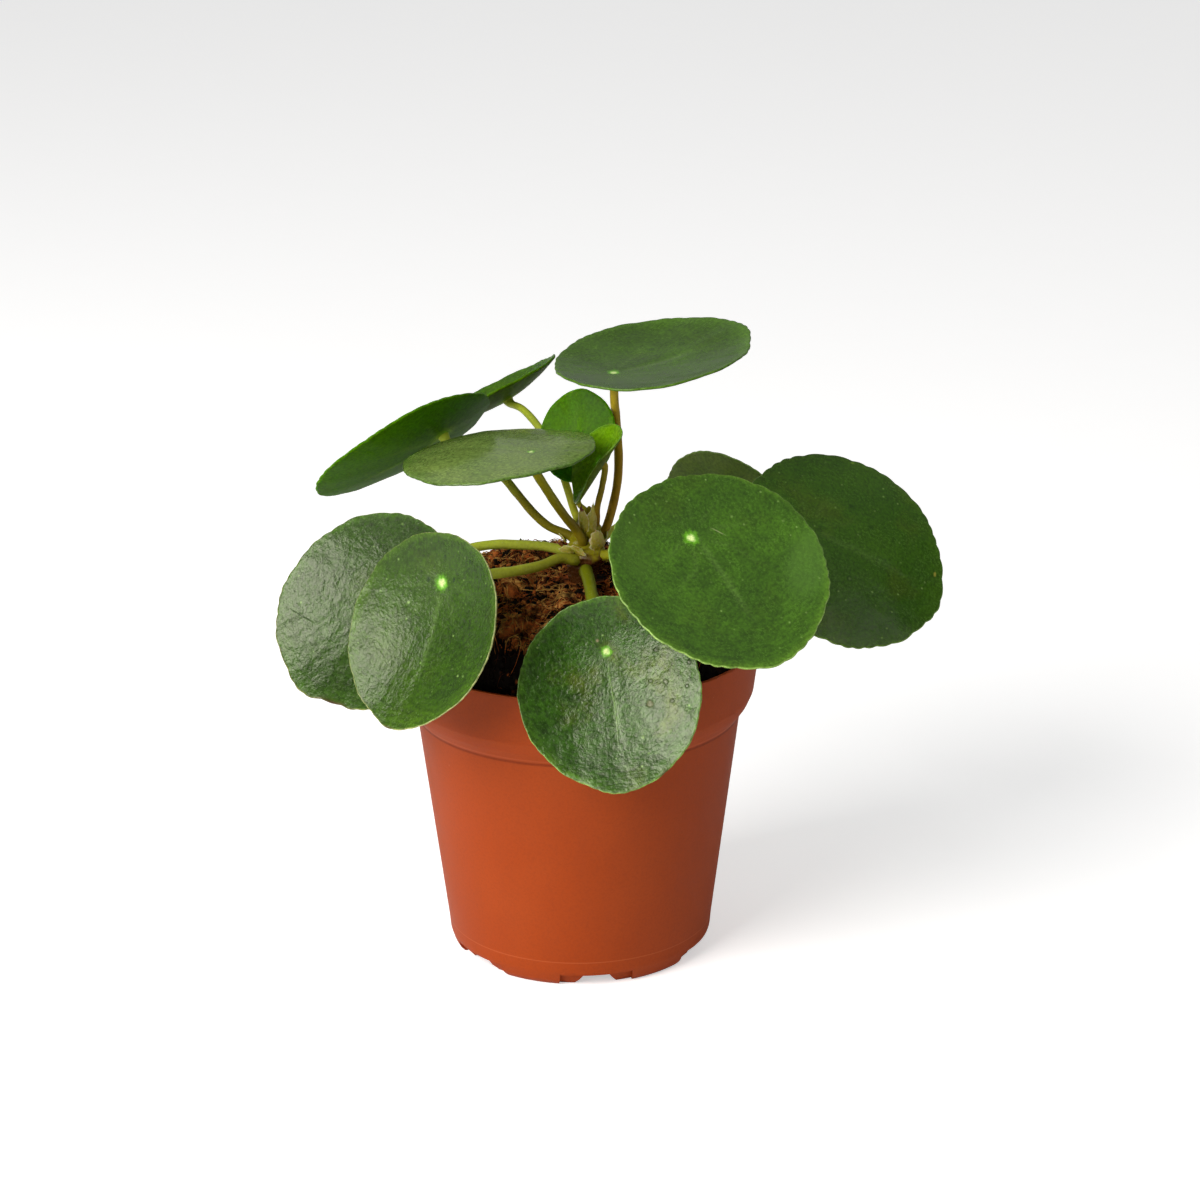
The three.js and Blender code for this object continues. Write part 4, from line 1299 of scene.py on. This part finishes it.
def build_pot(material):
    floor_top = FLOOR_UNDERSIDE + WALL
    inside = [(radius - WALL, height) for radius, height in reversed(POT_OUTSIDE) if height > FOOT_TOP]
    profile = [
        (NEAR_AXIS, FLOOR_UNDERSIDE), (SKIRT_INSIDE, FLOOR_UNDERSIDE), (SKIRT_INSIDE, 0.0), *POT_OUTSIDE,
        (RIM_RADIUS, POT_HEIGHT), (RIM_RADIUS - WALL, POT_HEIGHT), *inside,
        (inside_radius(0.0084), 0.0084), (POT_OUTSIDE[0][0] + CORNER, floor_top), (NEAR_AXIS, floor_top),
    ]
    pot = turned("pot_body", rounded(profile, CORNER, 3), POT_SIDES)
    merge_points(pot, 0.00025)
    face_outward(pot)
    recess = ((-0.5, -0.001), (0.5, -0.001), (0.5, 1), (-0.5, 1))
    foot = POT_OUTSIDE[:4]
    for i in range(NOTCHES):
        side = FIRST_NOTCH + i * 360 / NOTCHES
        outline = [(x * RECESS_WIDTH, z if z < 0 else RECESS_HEIGHT) for x, z in recess]
        shallow = wedge("recess", outline, FOOT_INSIDE, CUTTER_REACH, side)
        behind = turned("behind", [(NEAR_AXIS, -0.002), (foot[0][0] - RECESS_DEPTH, -0.002),
                                   *((r - RECESS_DEPTH, z) for r, z in foot), (NEAR_AXIS, FOOT_TOP)], POT_SIDES)
        merge_points(behind, 0.0003)
        cut(shallow, behind)
        cut(pot, shallow)
        outline = [
            (-NOTCH_BELOW / 2, -0.001), (NOTCH_BELOW / 2, -0.001), (NOTCH_BELOW / 2, 0.0),
            (NOTCH_ABOVE / 2, NOTCH_HEIGHT), (-NOTCH_ABOVE / 2, NOTCH_HEIGHT), (-NOTCH_BELOW / 2, 0.0),
        ]
        cut(pot, wedge("notch", outline, FOOT_INSIDE, CUTTER_REACH, side))
        deselect()
        bpy.ops.mesh.primitive_cylinder_add(vertices=32, radius=DRAIN_RADIUS, depth=0.006, location=(
            DRAIN_RING * math.cos(math.radians(side)), DRAIN_RING * math.sin(math.radians(side)), FLOOR_UNDERSIDE,
        ))
        drain = bpy.context.active_object
        bpy.ops.object.transform_apply(location=True, rotation=True, scale=True)
        cut(pot, drain)
    place_points(pot, from_axis(points_of(pot)))
    finish_piece(pot, material, "pot", "pot")
    bpy.ops.object.shade_smooth_by_angle(angle=math.radians(32))
    return pot


# Root ball

def scatter(rng, count, reach=SOIL_INSIDE):
    """Random places spread evenly over the round top of the soil."""
    radius = reach * np.sqrt(rng.uniform(0, 1, count))
    angle = rng.uniform(0, 2 * math.pi, count)
    return radius * np.cos(angle), radius * np.sin(angle)


def clod_table():
    """Lumps of earth over the soil: middle, radius, height and tone of each."""
    rng = np.random.default_rng(71)
    x, y = scatter(rng, CLODS)
    size = 0.0012 + 0.0032 * rng.uniform(0, 1, CLODS) ** 2
    height = size * rng.uniform(0.3, 0.8, CLODS)
    return x, y, size, height, rng.uniform(0, 1, CLODS)


def soil_top(x, y, clods, tones=False):
    """Height of the soil over each point, or the tone of the clod that stands highest there."""
    share = np.clip(np.hypot(x, y) / SOIL_INSIDE, 0, 1)
    both = np.stack([np.ravel(x), np.ravel(y)], 1)
    bend = 0.0006 * np.stack([waves(both, 0.003, 21), waves(both, 0.003, 22)], 1)
    cx, cy, size, height, tone = clods
    away = np.hypot(both[:, :1] + bend[:, :1] - cx, both[:, 1:] + bend[:, 1:] - cy)
    stands = height * (1 - (away / size) ** 2)
    if tones:
        return tone[np.argmax(stands, axis=1)].reshape(np.shape(x))
    lumps = np.maximum(stands.max(axis=1), -0.0008) - 0.0009 + 0.0002 * waves(both, 0.0011, 23)
    dome = SOIL_EDGE + SOIL_RISE * (1 - share ** 9)
    wave = 0.0012 * np.sin(x / 0.006) * np.cos(y / 0.007)
    off_stem = smooth(share * SOIL_INSIDE, 0.005, 0.014)
    return dome + (lumps.reshape(np.shape(x)) + wave + (y * 0.1 - x) * 0.032) * off_stem * (1 - share ** 3)


def build_soil(material, clods):
    bottom = FLOOR_UNDERSIDE + WALL + 0.0003
    sides = [(r - WALL - SOIL_GAP, z) for r, z in POT_OUTSIDE if FOOT_TOP < z < SOIL_EDGE]
    edge = inside_radius(SOIL_EDGE) - SOIL_GAP
    rings = [(edge * (1 - i / SOIL_RINGS), SOIL_EDGE) for i in range(SOIL_RINGS)] + [(NEAR_AXIS / 2, SOIL_EDGE)]
    start = [(NEAR_AXIS / 2, bottom), (POT_OUTSIDE[0][0], bottom), (inside_radius(0.009) - 0.0006, 0.009)]
    thing = turned("root_ball", start + sides + rings, SOIL_SIDES)
    places = points_of(thing)
    top = places[:, 2] > SOIL_EDGE - 1e-5
    x, y = places[top, 0], places[top, 1]
    shade = np.full(len(places), 0.3)
    shade[top] = soil_top(x, y, clods, tones=True)
    keep_values(thing, "shade", shade)
    places[top, 2] = soil_top(x, y, clods)
    place_points(thing, from_axis(places))
    return finish_piece(thing, material, "soil", "soil")


def stem_clear(x, y, gap):
    return np.hypot(x - STEM_X, y) > gap


def build_crumbs(material, count, clods):
    """Small rough crumbs on the soil, copies of one lump at many sizes."""
    deselect()
    bpy.ops.mesh.primitive_ico_sphere_add(subdivisions=1, radius=1.0, location=(0, 0, 0))
    lump = bpy.context.active_object
    template = points_of(lump)
    corners = np.array([face.vertices[:] for face in lump.data.polygons])
    bpy.data.objects.remove(lump)
    rng = np.random.default_rng(3)
    x, y = scatter(rng, count, SOIL_INSIDE * 0.985)
    free = stem_clear(x, y, STEM_ROOM)
    x, y = x[free], y[free]
    z = soil_top(x, y, clods)
    size = 0.00025 + 0.001 * rng.uniform(0, 1, len(x)) ** 3
    size = np.minimum(size, (SOIL_INSIDE - np.hypot(x, y)) * 0.8 + 0.0002)
    made = []
    for i in range(len(x)):
        turn = np.array(Matrix.Rotation(rng.uniform(0, 6.3), 3, Vector(rng.normal(size=3)).normalized()))
        dents = 1 + rng.uniform(-0.35, 0.35, (len(template), 1))
        shape = template * dents * rng.uniform((0.6, 0.4, 0.3), (1.9, 1.0, 0.7))
        made.append(shape @ turn.T * size[i] + (x[i], y[i], z[i] + size[i] * 0.2))
    faces = (corners[None] + (np.arange(len(made)) * len(template))[:, None, None]).reshape(-1, 3)
    thing = mesh_object("soil_crumbs", from_axis(np.concatenate(made)), faces)
    keep_values(thing, "shade", np.repeat(rng.uniform(0, 1, len(made)) ** 1.3, len(template)))
    return finish_piece(thing, material, "soil")


def build_fibres(name, material, clods, count, fibre):
    """Thin bent fibres lying over the soil, each a three-sided tube of seven rings."""
    rng = np.random.default_rng(fibre.seed)
    steps = 7
    t = np.linspace(-0.5, 0.5, steps)
    x, y = scatter(rng, count)
    size = rng.uniform(*fibre.length, count)
    thick = rng.uniform(*fibre.thickness, count)
    way = rng.uniform(0, 2 * math.pi, count)[:, None] + np.outer(rng.normal(0, fibre.bend, count), 2 * t)
    x = x[:, None] + np.cumsum(np.cos(way), axis=1) * size[:, None] / steps
    y = y[:, None] + np.cumsum(np.sin(way), axis=1) * size[:, None] / steps
    z = soil_top(x, y, clods)
    z = 0.35 * z + 0.65 * z.mean(axis=1, keepdims=True) if size.mean() > 0.01 else z
    z = z + thick[:, None] + np.outer(rng.uniform(*fibre.arch, count), 1 - (2 * t) ** 2)
    z += rng.normal(0, 0.00013, z.shape) + rng.uniform(0, 0.0004, count)[:, None]
    tone = rng.uniform(*fibre.shade, count)
    kept = (np.hypot(x, y).max(axis=1) < SOIL_INSIDE - 0.0005) & stem_clear(x, y, STEM_ROOM - 0.0002).all(axis=1)
    spine = np.stack([x, y, z], 2)[kept]
    thick, tone = thick[kept], tone[kept]
    ahead = np.gradient(spine, axis=1)
    ahead /= np.linalg.norm(ahead, axis=2, keepdims=True)
    side = np.cross(ahead, (0.0, 0.0, 1.0))
    side /= np.linalg.norm(side, axis=2, keepdims=True)
    up = np.cross(side, ahead)
    taper = np.outer(thick, 1 - 0.8 * np.abs(2 * t) ** 3)[:, :, None]
    turns = [2 * math.pi * k / 3 for k in range(3)]
    rings = np.stack([spine + taper * (side * math.cos(a) + up * math.sin(a)) for a in turns], 2)
    faces = []
    for i in range(steps - 1):
        for k in range(3):
            a, b = 3 * i + k, 3 * i + (k + 1) % 3
            faces += [(a, b, b + 3), (a, b + 3, a + 3)]
    faces += [(2, 1, 0), (3 * steps - 3, 3 * steps - 2, 3 * steps - 1)]
    starts = np.arange(len(spine)) * 3 * steps
    faces = (np.array(faces)[None] + starts[:, None, None]).reshape(-1, 3)
    thing = mesh_object(name, from_axis(rings.reshape(-1, 3)), faces)
    keep_values(thing, "shade", np.repeat(tone, steps * 3))
    return finish_piece(thing, material, "soil")


# Stage

CAMERA_PLACE = (0.0, -0.9224, 0.4252)
CAMERA_DOWN = 19.19
CAMERA_RIGHT = 0.397
CAMERA_ROLL = -0.358
CAMERA_LENS = 102.28
SENSOR_WIDTH = 36.0
LIGHTS_AIM = 0.11
FLOOR_SIZE = 8.0


def build_camera():
    camera = bpy.data.objects.new("camera", bpy.data.cameras.new("camera"))
    bpy.context.collection.objects.link(camera)
    camera.data.lens = CAMERA_LENS
    camera.data.sensor_width = SENSOR_WIDTH
    camera.data.dof.use_dof = False
    camera.data.clip_start = 0.01
    camera.matrix_world = (
        Matrix.Translation(Vector(CAMERA_PLACE) + pot_axis())
        @ Matrix.Rotation(math.radians(-CAMERA_RIGHT), 4, "Z")
        @ Matrix.Rotation(math.radians(90 - CAMERA_DOWN), 4, "X")
        @ Matrix.Rotation(math.radians(CAMERA_ROLL), 4, "Z")
    )
    bpy.context.scene.camera = camera


def soft_light(name, azimuth, elevation, away, size, power, colour):
    """A rectangular soft light that faces the plant from the given side and height."""
    side, up = math.radians(azimuth), math.radians(elevation)
    middle = pot_axis() + Vector((0, 0, LIGHTS_AIM))
    place = middle + away * Vector((math.cos(side) * math.cos(up), math.sin(side) * math.cos(up), math.sin(up)))
    light = bpy.data.lights.new(name, "AREA")
    light.shape = "RECTANGLE"
    light.size, light.size_y = size
    light.energy = power
    light.color = colour
    lamp = bpy.data.objects.new(name, light)
    bpy.context.collection.objects.link(lamp)
    lamp.matrix_world = Matrix.Translation(place) @ (place - middle).to_track_quat("Z", "Y").to_matrix().to_4x4()


def build_world(overhead, behind, front):
    """Soft surroundings: one brightness overhead, one low behind the plant and one low in front of it."""
    world = bpy.data.worlds.new("studio")
    bpy.context.scene.world = world
    world.use_nodes = True
    tree = world.node_tree
    _, ahead, up = parted(Value(add("TexCoord", tree=tree).outputs["Generated"]))
    level = between(band(up, 0.6, 0.85), band(ahead, 0.0, 0.35, front, behind), overhead)
    shader = tree.nodes["Background"].inputs
    link(between(seen_by_camera(tree), level, 1.0), shader["Strength"])
    link((1.0, 1.0, 1.0), shader["Color"])
    tidy_nodes(tree)


def build_floor(shine):
    """A wide pale floor; the camera sees it a little brighter than the light it gives back."""
    deselect()
    bpy.ops.mesh.primitive_plane_add(size=FLOOR_SIZE, location=(0, 0, 0))
    floor = bpy.context.active_object
    floor.name = "floor"
    material, tree, shader = new_material("pale_floor")
    pale = mixed(noise(object_place(tree), 40.0, 3.0), (0.9, 0.9, 0.9), (0.92, 0.92, 0.92))
    for label, value in {
        "Base Color": pale, "Roughness": 0.9, "Specular IOR Level": 0.1, "Emission Color": (1.0, 1.0, 1.0),
        "Emission Strength": seen_by_camera(tree) * shine,
    }.items():
        link(value, shader[label])
    tidy_nodes(tree)
    floor.data.materials.append(material)


# Add-on

class PileaSizes(bpy.types.PropertyGroup):
    """Sizes that the leaves, stalks and soil are built with."""

    leaf_thickness: FloatProperty(
        name="Leaf thickness", description="Thickness of a blade", default=0.00075, unit="LENGTH")
    rib_depth: FloatProperty(
        name="Midrib depth", description="How far the midrib sinks into the blade", default=0.00012, unit="LENGTH")
    pucker: FloatProperty(
        name="Pucker", description="Height of the low puckers between the veins", default=0.00005, unit="LENGTH")
    hub_flare: FloatProperty(
        name="Hub flare", description="How much a stalk widens where it meets its leaf", default=0.55)
    leaf_sectors: IntProperty(
        name="Leaf sectors", description="Points round a blade's margin", default=360, min=48)
    crumbs: IntProperty(name="Crumbs", description="Number of crumbs on the soil", default=5200, min=0)
    fibres: IntProperty(name="Fibres", description="Number of short fibres on the soil", default=3600, min=0)
    threads: IntProperty(name="Threads", description="Number of longer fibres on the soil", default=700, min=0)
    straws: IntProperty(name="Straws", description="Number of long straws on the soil", default=45, min=0)


class PileaColours(bpy.types.PropertyGroup):
    """Main colours of the plant and its pot."""

    leaf: FloatVectorProperty(
        name="Leaf", description="Upper face of a grown leaf", subtype="COLOR", size=4,
        default=(0.028, 0.080, 0.006, 1))
    leaf_patch: FloatVectorProperty(
        name="Leaf patches", description="Lighter patches of a grown leaf", subtype="COLOR", size=4,
        default=(0.045, 0.125, 0.008, 1))
    leaf_margin: FloatVectorProperty(
        name="Leaf margin", description="Yellower green near the margin", subtype="COLOR", size=4,
        default=(0.08, 0.19, 0.012, 1))
    leaf_under: FloatVectorProperty(
        name="Leaf underside", description="Lower face of a grown leaf", subtype="COLOR", size=4,
        default=(0.06, 0.15, 0.005, 1))
    young_leaf: FloatVectorProperty(
        name="Young leaf", description="Upper face of a young leaf", subtype="COLOR", size=4,
        default=(0.06, 0.17, 0.004, 1))
    vein: FloatVectorProperty(
        name="Vein", description="Veins and the thin line round a margin", subtype="COLOR", size=4,
        default=(0.22, 0.36, 0.09, 1))
    pot: FloatVectorProperty(
        name="Pot", description="Terracotta-coloured plastic", subtype="COLOR", size=4,
        default=(0.37, 0.053, 0.006, 1))
    soil: FloatVectorProperty(
        name="Soil", description="Brown of the soil's crumbs", subtype="COLOR", size=4,
        default=(0.6, 0.15, 0.03, 1))


class PILEA_OT_pot(bpy.types.Operator):
    """Builds the plastic pot with its notched foot and drain holes"""

    bl_idname = "pilea.pot"
    bl_label = "Pot"

    def execute(self, context):
        looks = {"Colour": context.scene.pilea_colours.pot}
        build_pot(piece_material("terracotta_plastic", pot_group(), looks, {}, {"Specular IOR Level": 0.13}))
        return {"FINISHED"}


class PILEA_OT_soil(bpy.types.Operator):
    """Builds the domed root ball with its crumbs and fibres"""

    bl_idname = "pilea.soil"
    bl_label = "Soil"

    def execute(self, context):
        sizes, clods, earth = context.scene.pilea_sizes, clod_table(), soil_group()
        looks = {"Brown colour": context.scene.pilea_colours.soil}
        read_and_shine = {"Shade": "shade"}, {"Specular IOR Level": 0.1}
        build_soil(piece_material("earth", earth, looks, *read_and_shine), clods)
        bits = piece_material("earth_bits", earth, {**looks, "Clod height": 0.00005}, *read_and_shine)
        build_crumbs(bits, sizes.crumbs, clods)
        for name, count, fibre in (
            ("soil_fibres", sizes.fibres, SHORT_FIBRE), ("soil_threads", sizes.threads, THREAD),
            ("soil_straws", sizes.straws, STRAW),
        ):
            build_fibres(name, bits, clods, count, fibre)
        return {"FINISHED"}


class PILEA_OT_stem(bpy.types.Operator):
    """Builds the short stem and the papery scales at its crown"""

    bl_idname = "pilea.stem"
    bl_label = "Stem"

    def execute(self, context):
        build_stem(piece_material("stem_bark", stem_group(), {}, {}, {"Specular IOR Level": 0.25}))
        blank = blank_leaf("scale_blank", 36, (1, 0.98, 0.93, 0.85, 0.7, 0.5, 0.3, 0.15))
        reads = {"Along": "along", "Tone": "tone", "Edge": "edge"}
        shine = {"Specular IOR Level": 0.3, **glow(0.5, 0.0008)}
        build_scales(blank, piece_material("papery_scale", scale_group(), {}, reads, shine))
        bpy.data.objects.remove(blank)
        return {"FINISHED"}


class PILEA_OT_stalks(bpy.types.Operator):
    """Builds the twelve leaf stalks"""

    bl_idname = "pilea.stalks"
    bl_label = "Stalks"

    def execute(self, context):
        group = stalk_group()
        for leaf in LEAVES:
            given = STALK_LOOKS.get(leaf.place, GREEN_STALK)
            looks = dict(zip(("Root colour", "Tip colour", "Change at", "Flecks"), given))
            material = piece_material(
                "stalk_" + leaf.place, group, looks, {"Share": "stalk"}, {"Specular IOR Level": 0.2})
            build_stalk(leaf, material, context.scene.pilea_sizes)
        return {"FINISHED"}


class PILEA_OT_leaves(bpy.types.Operator):
    """Builds the twelve round leaves"""

    bl_idname = "pilea.leaves"
    bl_label = "Leaves"

    def execute(self, context):
        colours, sizes = context.scene.pilea_colours, context.scene.pilea_sizes
        group = blade_group()
        blank = blank_leaf("leaf_blank", sizes.leaf_sectors, LEAF_RINGS)
        for index, leaf in enumerate(LEAVES):
            looks = {
                "Seed": index * 0.37, "Upper colour": colours.young_leaf if leaf.young else colours.leaf,
                "Patch colour": colours.leaf_patch, "Margin colour": colours.leaf_margin,
                "Under colour": colours.leaf_under, "Vein colour": colours.vein, **LEAF_LOOKS.get(leaf.place, {}),
            }
            shine = {"IOR": 1.46, "Specular IOR Level": LEAF_SHINE.get(leaf.place, USUAL_SHINE)}
            shine["Specular Tint"] = (0.97, 1.0, 0.8)
            if leaf.place in LEAF_GLOW:
                shine.update(glow(*LEAF_GLOW[leaf.place]))
            reads = {"Blade": "blade", "Upper": "upper", "Scorch": "scorch"}
            marks = LEAF_MARKS.get(leaf.place, ())
            material = piece_material("leaf_" + leaf.place, group, looks, reads, shine, marks)
            build_leaf(leaf, index, blank, material, sizes)
        bpy.data.objects.remove(blank)
        return {"FINISHED"}


class PILEA_OT_stage(bpy.types.Operator):
    """Sets up the pale floor, the soft lights, the surroundings and the camera"""

    bl_idname = "pilea.stage"
    bl_label = "Stage"

    def execute(self, context):
        build_floor(0.5)
        build_world(overhead=0.34, behind=0.34, front=0.04)
        soft_light("key_light", -138, 31, 1.25, (0.92, 0.78), 21.0, (1.0, 0.98, 0.95))
        soft_light("fill_light", -30, 30, 1.5, (0.8, 0.8), 2.4, (1.0, 0.99, 0.98))
        build_camera()
        context.scene.view_settings.view_transform = "Standard"
        return {"FINISHED"}


class PILEA_PT_panel(bpy.types.Panel):
    """Lists the sizes, the colours and the steps that build the plant"""

    bl_label = "Potted Pilea"
    bl_idname = "PILEA_PT_panel"
    bl_space_type = "VIEW_3D"
    bl_region_type = "UI"
    bl_category = "Pilea"

    def draw(self, context):
        layout = self.layout
        for group in (context.scene.pilea_sizes, context.scene.pilea_colours):
            box = layout.box()
            for name in group.__annotations__:
                box.prop(group, name)
        column = layout.column()
        for step in STEPS:
            column.operator(step.bl_idname)


STEPS = (PILEA_OT_pot, PILEA_OT_soil, PILEA_OT_stem, PILEA_OT_stalks, PILEA_OT_leaves, PILEA_OT_stage)
CLASSES = (PileaSizes, PileaColours, *STEPS, PILEA_PT_panel)


def register():
    for entry in CLASSES:
        bpy.utils.register_class(entry)
    bpy.types.Scene.pilea_sizes = PointerProperty(type=PileaSizes)
    bpy.types.Scene.pilea_colours = PointerProperty(type=PileaColours)


def unregister():
    del bpy.types.Scene.pilea_sizes
    del bpy.types.Scene.pilea_colours
    for entry in reversed(CLASSES):
        bpy.utils.unregister_class(entry)


def corners(bounds):
    return [list(corner) for corner in bounds]


def main():
    register()
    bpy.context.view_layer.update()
    bpy.ops.pilea.pot()
    bpy.ops.pilea.soil()
    bpy.ops.pilea.stem()
    bpy.ops.pilea.stalks()
    bpy.ops.pilea.leaves()
    bpy.ops.pilea.stage()


if __name__ == "__main__":
    main()
